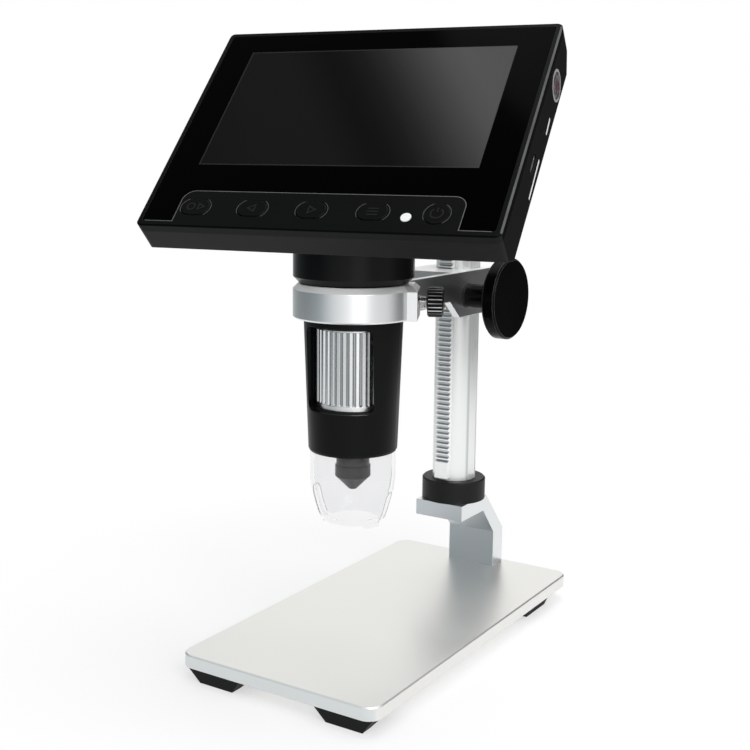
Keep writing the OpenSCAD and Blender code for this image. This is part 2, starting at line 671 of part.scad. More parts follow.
module tube_shell() color([0.13, 0.14, 0.14]) on_head() difference() {
    rotate_extrude($fn = ROUND) polygon([
        [spigot_r + 0.2, tube_z0], [tube_tip_r - 0.4, tube_z0], [tube_tip_r, tube_z0 + 0.8],
        [tube_top_r, tube_cone_top], [tube_neck_r, tube_cone_top + 0.8], [tube_neck_r, tube_end],
        [chamber_r, tube_end], [chamber_r, guide_z], [chamber_r - 1.4, guide_z],
        [chamber_r - 1.4, led_shelf_z], [chamber_r, led_shelf_z], [chamber_r, led_board_z - 0.1],
        [spigot_r + 0.2, led_board_z - 0.1]]);
    translate([0, 0, window_z + window_h / 2]) rotate([90, 0, 0]) linear_extrude(FAR)
        rounded_rect(window_w, window_h, window_r);
    for (a = [90, 210, 330]) rotate([0, 0, a]) translate([neck_screw_ring, 0, tube_end - neck_screw_l - 1])
        cylinder(h = FAR, r = neck_screw_r + run_gap, $fn = SMALL);
}

// spool that guides the lens barrel and carries the drum
module lens_guide() color("dimgray") on_head() translate([0, 0, guide_z])
    rotate_extrude($fn = ROUND) polygon([
        [barrel_r + run_gap, 0], [chamber_r - run_gap, 0], [chamber_r - run_gap, guide_flange],
        [barrel_r + 2.4, guide_flange], [barrel_r + 2.4, guide_h - guide_flange],
        [chamber_r - run_gap, guide_h - guide_flange], [chamber_r - run_gap, guide_h],
        [barrel_r + run_gap, guide_h]]);

module led_board() color("white") on_head() translate([0, 0, led_board_z])
    tube(led_board_t, chamber_r - 0.2, barrel_r + 0.8);

module leds() color("lightyellow") on_head()
    for (i = [0:7]) rotate([0, 0, (i + 0.5) * 45]) translate([led_ring_r, 0, led_board_z - led_t / 2])
        cube([led_side, led_side, led_t], center = true);

module sensor_holder() color("dimgray") on_head() translate([0, 0, holder_z])
    tube(holder_t, chamber_r - run_gap, cable_r);

module sensor_board() color("seagreen") on_head() translate([0, 0, holder_z + holder_t])
    cylinder(h = sensor_board_t, r = chamber_r - 1.5, $fn = ROUND);

module image_sensor() color([0.1, 0.1, 0.12]) on_head()
    translate([0, 0, holder_z + holder_t - 0.7]) cube([7, 7, 1.4], center = true);

// flat cable from the camera board up to the back of the main board
module camera_ribbon() color("orange") on_head() difference() {
    translate([-ribbon_w / 2, 1.8, holder_z + holder_t + sensor_board_t]) cube([ribbon_w, ribbon_t, FAR]);
    on_screen() translate([-FAR, -FAR, board_back - 0.1]) cube(2 * FAR);
}

module neck_screws() color("silver") on_head()
    for (a = [90, 210, 330]) rotate([0, 0, a]) translate([neck_screw_ring, 0, tube_end + web_t]) {
        translate([0, 0, -neck_screw_l - web_t]) cylinder(h = neck_screw_l + web_t, r = neck_screw_r, $fn = SMALL);
        cylinder(h = 1.4, r = 2, $fn = SMALL);
    }

// ---------- monitor ----------

// side outline of the monitor, inset by a wall: (up the screen, out of the screen)
module housing_side(inset) {
    top_turn = atan(top_chamfer[0] / top_chamfer[1]);
    low_turn = atan(low_chamfer[0] / low_chamfer[1]);
    back = inset - screen_t;
    polygon([
        [screen_up - inset, split_z + (inset > 0 ? CUT : 0)],
        [screen_up - inset, top_chamfer[1] - screen_t + inset * tan(top_turn / 2)],
        [screen_up - top_chamfer[0] - inset * tan((90 - top_turn) / 2), back],
        [low_chamfer[0] - screen_down + inset * tan((90 - low_turn) / 2), back],
        [inset - screen_down, low_chamfer[1] - screen_t + inset * tan(low_turn / 2)],
        [inset - screen_down, split_z + (inset > 0 ? CUT : 0)]]);
}
screen_mid = (screen_up - screen_down) / 2;
screen_h = screen_up + screen_down;

module rear_housing() color([0.14, 0.14, 0.15]) on_head() difference() {
    union() {
        on_screen() difference() {
            intersection() {
                side_extrude(screen_w) housing_side(0);
                translate([0, screen_mid, -screen_t - CUT]) linear_extrude(screen_t + 2 * CUT)
                    rounded_rect(screen_w, screen_h, screen_r);
            }
            side_extrude(screen_w - 2 * screen_wall) housing_side(screen_wall);
        }
        on_screen() for (x = [-1, 1], y = boss_y) translate([x * boss_x, y, -screen_t + screen_wall / 2])
            cylinder(h = screen_t - screen_wall / 2 + boss_joint, r = boss_r, $fn = SMALL);
        difference() {
            rotate_extrude($fn = ROUND) polygon([
                [tube_neck_r + 0.15, 0], [neck_r - neck_bevel + 0.1, 0], [neck_r, neck_bevel], [neck_r, FAR / 2],
                [neck_bore, FAR / 2], [neck_bore, tube_end + web_t], [cable_r, tube_end + web_t],
                [cable_r, tube_end], [tube_neck_r + 0.15, tube_end]]);
            on_screen() translate([-FAR, -FAR, -screen_t + screen_wall / 2]) cube(2 * FAR);
        }
    }
    // way for the camera cable through the back wall
    cylinder(h = screen_z - 14, r = cable_r, $fn = SMALL);
    for (a = [90, 210, 330]) rotate([0, 0, a]) translate([neck_screw_ring, 0, tube_end - CUT])
        cylinder(h = web_t + 2 * CUT, r = neck_screw_r + 0.1, $fn = SMALL);
    on_screen() {
        for (x = [-1, 1], y = boss_y) translate([x * boss_x, y, -screen_t - CUT]) {
            cylinder(h = screen_t, r = boss_screw_r + 0.15, $fn = SMALL);
            cylinder(h = boss_seat + screen_t + CUT, r = boss_head_r + 0.15, $fn = SMALL);
        }
        translate([screen_w / 2, port_y, port_z]) rotate([90, 0, 90])
            linear_extrude(4 * screen_wall, center = true) stadium(port_size[0] + 0.4, port_size[1] + 0.4);
        translate([screen_w / 2, reset_y, board_back - reset_h / 2]) rotate([0, 90, 0])
            cylinder(h = 4 * screen_wall, r = 0.6, center = true, $fn = SMALL);
        translate([-screen_w / 2, card_y, card_z])
            cube([4 * screen_wall, card_size[0] + 0.6, card_size[1] + 0.6], center = true);
    }
}

module glass_outline(gap) difference() {
    translate([0, screen_mid + (glass_foot - glass_rim) / 2])
        rounded_rect(screen_w - 2 * glass_rim - 2 * gap, screen_h - glass_rim - glass_foot - 2 * gap, screen_r / 2);
    translate([0, -FAR / 2 + panel_top + gap]) {
        square([panel_w + 2 * gap - 2 * panel_r, FAR], center = true);
        translate([0, -panel_r]) square([panel_w + 2 * gap, FAR], center = true);
        for (x = [-1, 1]) translate([x * (panel_w / 2 + gap - panel_r), FAR / 2 - panel_r])
            circle(panel_r, $fn = SMALL);
    }
}

module front_frame() color([0.1, 0.11, 0.11]) on_monitor() difference() {
    union() {
        translate([0, screen_mid, split_z]) bevelled_slab(screen_w, screen_h, -split_z, screen_r, 0.5);
        for (x = [-1, 1], y = boss_y) translate([x * boss_x, y, boss_joint])
            cylinder(h = split_z - boss_joint + 0.1, r = boss_r, $fn = SMALL);
    }
    translate([0, 0, -glass_t]) linear_extrude(FAR) glass_outline(0);
    cube([lcd_view[0] + 3, lcd_view[1] + 3, FAR], center = true);
    for (i = [0:3]) translate([key_x0 + i * key_pitch, key_y, -FAR / 2])
        linear_extrude(FAR) stadium(key_l, key_w);
    translate([key_x0 + 4 * key_pitch, key_y, -FAR / 2]) cylinder(h = FAR, r = power_d / 2, $fn = SMALL);
    translate([indicator_at[0], indicator_at[1], -FAR / 2]) cylinder(h = FAR, r = indicator_r, $fn = SMALL);
    for (x = [-1, 1], y = boss_y) translate([x * boss_x, y, boss_joint - CUT])
        cylinder(h = boss_screw_top - boss_joint + CUT + 0.2, r = boss_screw_r + run_gap, $fn = SMALL);
}

module front_glass() color([0.02, 0.02, 0.03]) on_monitor()
    translate([0, 0, -glass_t]) linear_extrude(glass_t) glass_outline(glass_gap);

module lcd_panel() color([0.25, 0.25, 0.27]) on_monitor() translate([0, 0, split_z - lcd_glass_t])
    linear_extrude(lcd_glass_t) square(lcd_size, center = true);

module lcd_backlight() color("silver") on_monitor() translate([0, 0, split_z - lcd_t])
    linear_extrude(lcd_t - lcd_glass_t) square(lcd_size, center = true);

module main_board() color("darkgreen") on_monitor() translate([0, 0, board_back])
    linear_extrude(board_t) {
        translate([-board_w / 2, board_low]) square([board_w, board_top - board_low]);
        translate([-board_ear_w / 2, board_ear[0]]) square([board_ear_w, board_ear[1] - board_ear[0]]);
    }

module board_chips() color([0.1, 0.1, 0.1]) on_monitor()
    for (c = chips) translate([c[3] * (board_w / 2 - c[2]), board_low + c[1], board_back - chip_t / 2])
        cube([c[0], c[0], chip_t], center = true);

module key_switches() color("silver") on_monitor()
    for (i = [0:4]) translate([key_x0 + i * key_pitch, key_y, (board_z + switch_z) / 2])
        cube([switch_size[0], switch_size[1], switch_z - board_z], center = true);

module usb_socket() color("silver") on_monitor() translate([screen_w / 2 - 0.6, port_y, port_z])
    rotate([90, 0, -90]) difference() {
        linear_extrude(8) stadium(port_size[0], port_size[1]);
        translate([0, 0, -CUT]) linear_extrude(5 + CUT) stadium(port_size[0] - 0.8, port_size[1] - 0.8);
    }

module card_socket() color("silver") on_monitor()
    translate([-screen_w / 2 + 1.6, card_y - card_size[0] / 2, card_z - card_size[1] / 2])
        difference() {
            cube([card_tray_l, card_size[0], card_size[1]]);
            translate([-CUT, card_tray_wall, card_tray_wall])
                cube([card_tray_l - 3, card_size[0] - 2 * card_tray_wall, card_size[1] - 2 * card_tray_wall]);
        }

module reset_switch() color("dimgray") on_monitor()
    translate([board_ear_w / 2 - reset_size, reset_y - reset_size / 2, board_back - reset_h])
        cube([reset_size, reset_size, reset_h]);

module battery() color("lightsteelblue") on_monitor()
    translate([battery_at[0], battery_at[1], board_back - battery_size[2] / 2 - 0.2])
        cube(battery_size, center = true);

module indicator_lens() color("white") on_monitor()
    translate([indicator_at[0], indicator_at[1], split_z]) {
        cylinder(h = 0.1 - split_z, r = indicator_r - 0.1, $fn = SMALL);
        translate([0, 0, -0.8]) cylinder(h = 0.8, r = indicator_r + 0.8, $fn = SMALL);
    }

module housing_screws() color("dimgray") on_monitor()
    for (x = [-1, 1], y = boss_y) translate([x * boss_x, y, boss_seat]) difference() {
        union() {
            cylinder(h = boss_screw_top - boss_seat, r = boss_screw_r, $fn = SMALL);
            translate([0, 0, -boss_head_h]) cylinder(h = boss_head_h, r = boss_head_r, $fn = SMALL);
        }
        translate([0, 0, -boss_head_h - CUT]) linear_extrude(0.8 + CUT) {
            square([2.6, 0.6], center = true);
            square([0.6, 2.6], center = true);
        }
    }

// ---------- focus drum and lens ----------

module focus_drum() color("silver") on_head() translate([0, 0, drum_z]) difference() {
    union() {
        linear_extrude(drum_h - 0.4) polygon(ridge_outline(drum_ridges, drum_r - 0.6, drum_r));
        rotate_extrude($fn = ROUND) polygon([[0, 0], [drum_r + 0.1, 0], [drum_r + 0.1, drum_rim_h - 0.8],
            [drum_r - 0.6, drum_rim_h], [0, drum_rim_h]]);
        translate([0, 0, drum_h - 0.4]) cylinder(h = 0.4, r = drum_r - 0.2, $fn = ROUND);
    }
    translate([0, 0, -CUT]) cylinder(h = drum_h + 2 * CUT, r = drum_bore, $fn = ROUND);
}

module lens_barrel() color([0.23, 0.23, 0.23]) on_head() rotate_extrude($fn = ROUND) polygon([
    [aperture_r, nose_z], [nose_tip_r, nose_z], [nose_r, nose_z + nose_cone],
    [nose_r, nose_z + nose_cone + nose_body], [barrel_r, nose_z + nose_cone + nose_body + 0.4],
    [barrel_r, barrel_head_z], [barrel_head_r, barrel_head_z], [barrel_head_r, barrel_top],
    [lens_r, barrel_top], [lens_r, lens_z], [aperture_r, lens_z]]);

module objective_lens() color("aliceblue") on_head() translate([0, 0, lens_z])
    cylinder(h = lens_t, r = lens_r - run_gap, $fn = ROUND);

module lens_spacer() color([0.1, 0.1, 0.1]) on_head() translate([0, 0, lens_z + lens_t])
    tube(rear_lens_z - lens_z - lens_t, lens_r - run_gap, lens_r - 0.7);

module rear_lens() color("aliceblue") on_head() translate([0, 0, rear_lens_z])
    cylinder(h = lens_t, r = lens_r - run_gap, $fn = ROUND);

// ---------- clear cap ----------

function cap_point(p, inwards, up) =
    [cap_r - p[0] - inwards, cap_z0 + p[1] * (cap_l - cap_straight - 0.1) + up];

module clear_cap() color([0.9, 0.93, 0.93, 0.4]) on_head() difference() {
    union() {
        rotate([0, 0, cap_lip_turn]) translate([cap_mouth_r + 0.5, -cap_lip[1] / 2, cap_z0 - cap_lip_drop])
            cube(cap_lip);
        cap_shell();
    }
    cap_notches();
}

module cap_shell() rotate_extrude($fn = ROUND) polygon([
    [spigot_r - spigot_wall, cap_top + spigot_l], [spigot_r, cap_top + spigot_l], [spigot_r, cap_top],
    [cap_r, cap_top], each [for (p = cap_curve) cap_point(p, 0, 0)],
    [cap_mouth_r, cap_z0], [cap_mouth_r, cap_z0 + cap_wall],
    each [for (k = [4:-1:0]) cap_point(cap_curve[k], cap_wall, 0.4)],
    [cap_r - cap_wall, cap_top - cap_wall], [spigot_r - spigot_wall, cap_top]]);

// the two U-shaped notches that let the finger reach the object
module cap_notches() for (side = [0, 180]) rotate([0, 0, side]) translate([cap_mouth_r - 2, 0, cap_z0]) {
    translate([0, -cap_slot_w / 2, -CUT]) cube([FAR, cap_slot_w, cap_slot_h - cap_slot_w / 2 + CUT]);
    translate([0, 0, cap_slot_h - cap_slot_w / 2]) rotate([0, 90, 0])
        cylinder(h = FAR, r = cap_slot_w / 2, $fn = SMALL);
}

// ---------- keys ----------

// the rounded top edge of an oval key: one bevelled disc at each end and a roof-shaped bar between them
module bevelled_key(l, w) {
    for (x = [-1, 1]) translate([x * (l - w) / 2, 0, 0])
        cylinder(h = key_bevel, r1 = w / 2, r2 = w / 2 - key_bevel, $fn = SMALL);
    translate([-(l - w) / 2, 0, 0]) rotate([90, 0, 90]) linear_extrude(l - w)
        polygon([[-w / 2, 0], [w / 2, 0], [w / 2 - key_bevel, key_bevel], [key_bevel - w / 2, key_bevel]]);
}

module oval_key(i) color([0.11, 0.12, 0.12]) on_monitor() translate([key_x0 + i * key_pitch, key_y, key_back]) {
    linear_extrude(key_flange_t) stadium(key_l + 2 * key_flange, key_w + 2 * key_flange);
    linear_extrude(key_out - key_back - key_bevel) stadium(key_l - 2 * key_gap, key_w - 2 * key_gap);
    translate([0, 0, key_out - key_back - key_bevel]) bevelled_key(key_l - 2 * key_gap, key_w - 2 * key_gap);
}

module key_1() oval_key(0);
module key_2() oval_key(1);
module key_3() oval_key(2);
module key_4() oval_key(3);

module power_key() color([0.11, 0.12, 0.12]) on_monitor() translate([key_x0 + 4 * key_pitch, key_y, key_back]) {
    cylinder(h = key_flange_t, r = power_d / 2 + key_flange, $fn = SMALL);
    cylinder(h = key_out - key_back - key_bevel, r = power_d / 2 - key_gap, $fn = SMALL);
    translate([0, 0, key_out - key_back - key_bevel])
        cylinder(h = key_bevel, r1 = power_d / 2 - key_gap, r2 = power_d / 2 - key_gap - key_bevel, $fn = SMALL);
}

base_plate();
front_feet();
rear_feet();
bracket();
bracket_screws();
column_screw();
collar();
column();
rack();
column_cap();
arm();
shaft_bushes();
focus_knob();
pinion_shaft();
pinion();
knob_set_screw();
shaft_clip();
clamp_screw();
clamp_screw_head();
tube_shell();
lens_guide();
led_board();
leds();
sensor_holder();
sensor_board();
image_sensor();
camera_ribbon();
neck_screws();
rear_housing();
front_frame();
front_glass();
lcd_panel();
lcd_backlight();
main_board();
board_chips();
key_switches();
usb_socket();
card_socket();
reset_switch();
battery();
indicator_lens();
housing_screws();
focus_drum();
lens_barrel();
objective_lens();
lens_spacer();
rear_lens();
clear_cap();
key_1();
key_2();
key_3();
key_4();
power_key();
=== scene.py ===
# %% [markdown]
# # A digital microscope with its own screen
# A ridged drum behind a window focuses a small camera, and a screen on top of the tube shows what
# it sees. A ring holds the tube on an arm, and a rack and pinion lift the arm along a column above
# a flat stage. The solids come ready made, in metres: this file gives them their finishes, adds
# the thin things that are not worth a solid, and sets up the light and the camera.

# %% Open the model
import json
import math

import bpy
import numpy as np
from mathutils import Matrix, Vector


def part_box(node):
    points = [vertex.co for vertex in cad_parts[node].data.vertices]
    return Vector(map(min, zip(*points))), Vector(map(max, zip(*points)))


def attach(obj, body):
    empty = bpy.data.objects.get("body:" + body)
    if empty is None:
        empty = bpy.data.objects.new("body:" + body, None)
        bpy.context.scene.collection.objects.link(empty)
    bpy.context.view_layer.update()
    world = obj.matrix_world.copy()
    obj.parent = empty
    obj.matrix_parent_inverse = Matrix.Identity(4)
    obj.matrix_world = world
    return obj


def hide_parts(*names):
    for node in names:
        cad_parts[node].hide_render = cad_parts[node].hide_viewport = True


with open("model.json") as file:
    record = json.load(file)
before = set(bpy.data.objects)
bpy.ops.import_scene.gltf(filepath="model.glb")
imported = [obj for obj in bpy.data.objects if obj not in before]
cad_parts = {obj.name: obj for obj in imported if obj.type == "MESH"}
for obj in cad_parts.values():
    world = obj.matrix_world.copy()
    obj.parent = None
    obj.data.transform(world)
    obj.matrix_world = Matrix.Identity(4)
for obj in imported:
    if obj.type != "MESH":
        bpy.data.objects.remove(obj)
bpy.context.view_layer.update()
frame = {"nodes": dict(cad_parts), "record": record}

MM = 0.001
print(len(frame["nodes"]), "nodes")

# %% [markdown]
# ## The camera
# The instrument is seen from its right front and from a little above the stage. A camera is a
# place and three axes: it looks along its own -Z, so the forward direction goes in with a minus
# sign. The axes are worked out from a turn, a dip and a slight roll, because three angles are
# easier to adjust than a matrix.

# %% Camera
CAMERA_AT = (0.21444, -0.32592, 0.16331)
CAMERA_LENS, CAMERA_SENSOR = 57.07, 36  # focal length and width of the film, in mm
CAMERA_CLIP = 0.01
CAMERA_TURN, CAMERA_DIP, CAMERA_ROLL = (math.radians(a) for a in (32.28, 10.51, 0.51))


def camera_axes(turn, dip, roll):
    """Right, up and forward of a camera that faces +Y, turned left, dipped and then rolled."""
    forward = Vector((-math.sin(turn) * math.cos(dip), math.cos(turn) * math.cos(dip), -math.sin(dip)))
    level_right = Vector((math.cos(turn), math.sin(turn), 0))
    level_up = level_right.cross(forward)
    right = math.cos(roll) * level_right + math.sin(roll) * level_up
    return right, right.cross(forward), forward


right, up, forward = camera_axes(CAMERA_TURN, CAMERA_DIP, CAMERA_ROLL)
camera_data = bpy.data.cameras.new("camera")
camera_data.lens = CAMERA_LENS
camera_data.sensor_width = CAMERA_SENSOR
camera_data.clip_start = CAMERA_CLIP
camera = bpy.data.objects.new("camera", camera_data)
camera_turn = Matrix((right, up, -forward)).transposed().to_4x4()
camera.matrix_world = Matrix.Translation(CAMERA_AT) @ camera_turn
bpy.context.collection.objects.link(camera)
bpy.context.scene.camera = camera
bpy.context.scene.view_settings.view_transform = "Standard"
print("camera looks along", [round(c, 3) for c in forward])

# %% [markdown]
# ## Arithmetic on shader sockets
# A finish is a small program made of nodes. Wiring a Math node for every plus sign is slow to write
# and hard to read, so a `Signal` wraps one socket and turns Python's operators into Math nodes.
# The reflected forms are there so that `1 - mask` works as well as `mask - 1`.


# %% Signal
class Signal:
    """A number that changes over a surface, with the arithmetic that the finishes need."""

    def __init__(self, graph, socket):
        self.graph, self.socket = graph, socket

    def math(self, operation, *values):
        """The Math node of that operation, with those values or links in its sockets."""
        node = self.graph.node("ShaderNodeMath", {"operation": operation}, dict(enumerate(values)))
        return Signal(self.graph, node.outputs[0])

    def __add__(self, other):
        return self.math("ADD", self, other)

    def __radd__(self, other):
        return self.math("ADD", other, self)

    def __sub__(self, other):
        return self.math("SUBTRACT", self, other)

    def __rsub__(self, other):
        return self.math("SUBTRACT", other, self)

    def __mul__(self, other):
        return self.math("MULTIPLY", self, other)

    def __rmul__(self, other):
        return self.math("MULTIPLY", other, self)

    def __truediv__(self, other):
        return self.math("DIVIDE", self, other)

    def __pow__(self, other):
        return self.math("POWER", self, other)

    def __abs__(self):
        return self.math("ABSOLUTE", self)

    def above(self, edge, blur):
        """0 below the edge and 1 above it, with a smooth step as wide as the blur."""
        node = self.graph.node("ShaderNodeMapRange", {"interpolation_type": "SMOOTHSTEP"}, {
            "Value": self, "From Min": edge - blur / 2, "From Max": edge + blur / 2})
        return Signal(self.graph, node.outputs["Result"])

    def within(self, half_width, blur):
        """1 where the signal is nearer to 0 than the half width."""
        return 1 - abs(self).above(half_width, blur)


def distance(first, second):
    """How far a point is from an axis or a middle, from its two distances across."""
    return (first ** 2.0 + second ** 2.0) ** 0.5


# %% Graph
class Graph:
    """A node tree, and the one method that adds a node to it."""

    def __init__(self, tree):
        self.tree = tree

    def node(self, kind, settings=None, sockets=None):
        """A new node: its settings go in first, and then the values or links of its sockets."""
        node = self.tree.nodes.new(kind)
        for name, value in (settings or {}).items():
            if name == "stops":
                self.set_stops(node.color_ramp, value)
            else:
                setattr(node, name, value)
        for name, value in (sockets or {}).items():
            self.feed(node.inputs[name], value)
        return node

    @staticmethod
    def set_stops(ramp, stops):
        """A colour ramp's stops, from a list of (place, colour)."""
        while len(ramp.elements) < len(stops):
            ramp.elements.new(0.5)
        for element, (place, colour) in zip(ramp.elements, stops):
            element.position, element.color = place, (*colour, 1)

    def feed(self, socket, value):
        """Links a signal or a socket, or writes a plain value."""
        value = value.socket if isinstance(value, Signal) else value
        if isinstance(value, bpy.types.NodeSocket):
            self.tree.links.new(value, socket)
        elif socket.type == "RGBA" and len(value) == 3:
            socket.default_value = (*value, 1)
        else:
            socket.default_value = value

    def split(self, vector):
        """The three coordinates of a vector as signals."""
        node = self.node("ShaderNodeSeparateXYZ", None, {0: vector})
        return [Signal(self, output) for output in node.outputs]

    def mix(self, factor, first, second):
        """A colour between two colours."""
        node = self.node("ShaderNodeMix", {"data_type": "RGBA"}, {0: factor, 6: first, 7: second})
        return node.outputs[2]


print("Signal, distance and Graph are ready")

# %% [markdown]
# ## The light
# Metal looks like what it mirrors, so the room matters more than its paint. It is a white tent
# with a bright window beside the camera and two dark openings. The left one draws the soft shading
# across the ring and turns the bracket's front face grey blue, and the right one darkens the side
# of the arm, the knob's face and the right edges of the tube. Only mirrored rays see that
# gradient. A ray straight from the camera, or through something clear, sees plain white, and
# a diffuse surface gets an even, softer level. The gradient is a colour ramp over the compass
# angle, which is the arc tangent of the direction's Y over its X.

# %% Room
ROOM_DIFFUSE = (0.50, 0.505, 0.51)
ROOM_OVERHEAD = (0.97, 0.97, 0.97)
CEILING = (0.55, 0.5)  # the middle and the width of its fade, as sines of the height angle
ROOM_BY_ANGLE = [  # compass angle in degrees from +X, and what a mirror sees there
    (-180, (0.24, 0.26, 0.265)),
    (-150, (0.18, 0.205, 0.215)),
    (-122, (0.235, 0.285, 0.315)),
    (-92, (0.76, 0.78, 0.79)),
    (-66, (0.98, 0.98, 0.98)),
    (-54, (1.45, 1.45, 1.45)),
    (-38, (1.45, 1.45, 1.45)),
    (-24, (0.78, 0.78, 0.78)),
    (10, (0.78, 0.78, 0.78)),
    (32, (0.24, 0.24, 0.24)),
    (60, (0.045, 0.045, 0.045)),
    (92, (0.06, 0.06, 0.06)),
    (108, (0.97, 0.97, 0.96)),
    (128, (0.97, 0.97, 0.96)),
    (148, (0.52, 0.54, 0.55)),
    (165, (0.32, 0.34, 0.345)),
    (180, (0.24, 0.26, 0.265)),
]
world = bpy.data.worlds.new("room")
world.use_nodes = True
bpy.context.scene.world = world
room = Graph(world.node_tree)
east, north, height = room.split(room.node("ShaderNodeTexCoord").outputs["Generated"])
compass = north.math("ARCTAN2", north, east) / (2 * math.pi) + 0.5
room_stops = [((angle + 180) / 360, colour) for angle, colour in ROOM_BY_ANGLE]
around = room.node("ShaderNodeValToRGB", {"stops": room_stops}, {0: compass}).outputs[0]
mirrored = room.mix(height.above(*CEILING), around, ROOM_OVERHEAD)
ray = room.node("ShaderNodeLightPath").outputs
seen_plain = compass.math("MAXIMUM", ray["Is Camera Ray"], ray["Is Transmission Ray"])
seen = room.mix(seen_plain, room.mix(ray["Is Glossy Ray"], ROOM_DIFFUSE, mirrored), (1, 1, 1))
room.feed(world.node_tree.nodes["Background"].inputs["Color"], seen)
print("the room has", len(ROOM_BY_ANGLE), "stops round the compass")

# %% [markdown]
# Two soft lamps shape what is not metal: a large one beside the camera and a weaker one overhead.
# They light the object at a level at which a colour renders about as it is written. Neither is
# seen by the camera itself.

# %% Lamps
LAMPS = {  # name: compass angle, height angle, distance, side, watts
    "lamp_beside_camera": (-38, 34, 0.9, 0.55, 5.0),
    "lamp_overhead": (60, 78, 0.8, 0.5, 3.0),
}
LAMPS_AIM = Vector((0, 0, 0.10))
for name, (angle, rise, far, side, watts) in LAMPS.items():
    angle, rise = math.radians(angle), math.radians(rise)
    toward = Vector((math.cos(rise) * math.cos(angle), math.cos(rise) * math.sin(angle), math.sin(rise)))
    light = bpy.data.lights.new(name, "AREA")
    light.size, light.energy = side, watts
    lamp = bpy.data.objects.new(name, light)
    facing_aim = toward.to_track_quat("Z", "Y").to_matrix().to_4x4()
    lamp.matrix_world = Matrix.Translation(LAMPS_AIM + far * toward) @ facing_aim
    lamp.visible_camera = False
    bpy.context.collection.objects.link(lamp)
print("lamps:", ", ".join(LAMPS))

# %% [markdown]
# ## Finishes
# A `Finish` is one material. It starts from the Principled shader, whose plain numbers are set on
# its own sockets, and adds three things that most of the pieces share: a grain, a soft edge and a
# bump. Patterns read the object's own coordinates in millimetres, so that a grain of 0.3 means
# 0.3 mm on the real thing.


# %% Finish
BEVEL_SAMPLES = 6


class Finish(Graph):
    """A material for one kind of surface on the instrument."""

    def __init__(self, name, colour, roughness, metallic=0.0, **plain):
        self.material = bpy.data.materials.new(name)
        self.material.use_nodes = True
        super().__init__(self.material.node_tree)
        self.shader = self.tree.nodes["Principled BSDF"]
        self.colour = colour
        self.set(**{"Base Color": colour, "Roughness": roughness, "Metallic": metallic})
        for setting, value in plain.items():
            self.set(**{setting.replace("_", " ").title().replace("Ior", "IOR"): value})
        self.place = self.node("ShaderNodeVectorMath", {"operation": "SCALE"}, {
            0: self.node("ShaderNodeTexCoord").outputs["Object"], "Scale": 1 / MM}).outputs[0]

    def set(self, **values):
        """Writes or links the shader's sockets by name."""
        for name, value in values.items():
            self.feed(self.shader.inputs[name], value)

    def grain(self, size, detail=2.0, stretch=(1, 1, 1)):
        """Cloudy noise between 0 and 1, with blobs of that size in mm, stretched along each axis."""
        place = self.node("ShaderNodeMapping", None, {
            "Vector": self.place, "Scale": [1 / share for share in stretch]}).outputs[0]
        return Signal(self, self.node("ShaderNodeTexNoise", None, {
            "Vector": place, "Scale": 1 / size, "Detail": detail}).outputs["Fac"])

    def shade(self, signal, spread):
        """The colour, darkened and lightened by that share as the signal goes from 0 to 1."""
        tone = self.node("ShaderNodeVectorMath", {"operation": "SCALE"}, {
            0: self.colour, "Scale": 1 + (signal - 0.5) * (2 * spread)}).outputs[0]
        self.set(**{"Base Color": tone})
        return tone

    def over(self, mask, colour):
        """Lays a colour over the one that is there, where the mask is 1."""
        socket = self.shader.inputs["Base Color"]
        under = socket.links[0].from_socket if socket.is_linked else self.colour
        self.set(**{"Base Color": self.mix(mask, under, colour)})

    def facing(self, axis, edge, blur=0.3):
        """1 where the true normal leans along that axis past the edge, or against it below 0."""
        lean = self.split(self.node("ShaderNodeNewGeometry").outputs["True Normal"])[axis]
        return (lean if edge > 0 else 0 - lean).above(abs(edge), blur)

    def relief(self, height, depth, soft_edge=0.0):
        """Feeds the normal: a bump of that depth in mm, over edges that look rounded by that many mm."""
        sockets = {"Height": height, "Distance": depth * MM, "Strength": 1.0}
        if soft_edge:
            sockets["Normal"] = self.rounded(soft_edge)
        self.set(Normal=self.node("ShaderNodeBump", None, sockets).outputs[0])

    def rounded(self, radius):
        """A normal that turns gently over the sharp edges of a solid."""
        return self.node("ShaderNodeBevel", {"samples": BEVEL_SAMPLES}, {"Radius": radius * MM}).outputs[0]

    def edges(self, radius, reach=0.25):
        """1 along the sharp edges and 0 on the flats: where the rounded normal leaves the true one."""
        turn = self.node("ShaderNodeVectorMath", {"operation": "DOT_PRODUCT"}, {
            0: self.rounded(radius), 1: self.node("ShaderNodeNewGeometry").outputs["Normal"]})
        return (1 - Signal(self, turn.outputs["Value"])).above(reach / 2, reach)


FINISHES = {}


def keep(finish, name, slot=None):
    """Files a finish under its name, which is the record's material slot unless another is given."""
    FINISHES[name] = finish
    finish.slot = slot or name
    print(f"{name}: {len(finish.tree.nodes)} nodes")


# %% [markdown]
# ## Aluminium
# The stage is a bead-blasted plate: its blur comes from pits far too small to see, so it is mostly
# a rough metal, with a faint sparkle of grain. The bracket is milled from the same metal and left
# smoother. The arm is anodised. Each gets a grain of its own size and a soft edge, because a
# blasted or anodised edge is never razor sharp.


# %% Satin metals
def satin_metal(slot, colour, roughness, grain_size, grain_depth, spread, soft_edge=0.25,
                stretch=(1, 1, 1), drift=1.0):
    """Metal whose colour and roughness drift a little, with its grain stretched along its working."""
    finish = Finish(slot, colour, roughness, metallic=1.0)
    fine = finish.grain(grain_size, 3, stretch)
    clouds = finish.grain(30, 2)
    finish.shade(fine * 0.6 + clouds * 0.4, spread)
    finish.set(Roughness=roughness + (clouds - 0.5) * (0.10 * drift) + (fine - 0.5) * (0.06 * drift))
    finish.relief(fine, grain_depth, soft_edge)
    keep(finish, slot)


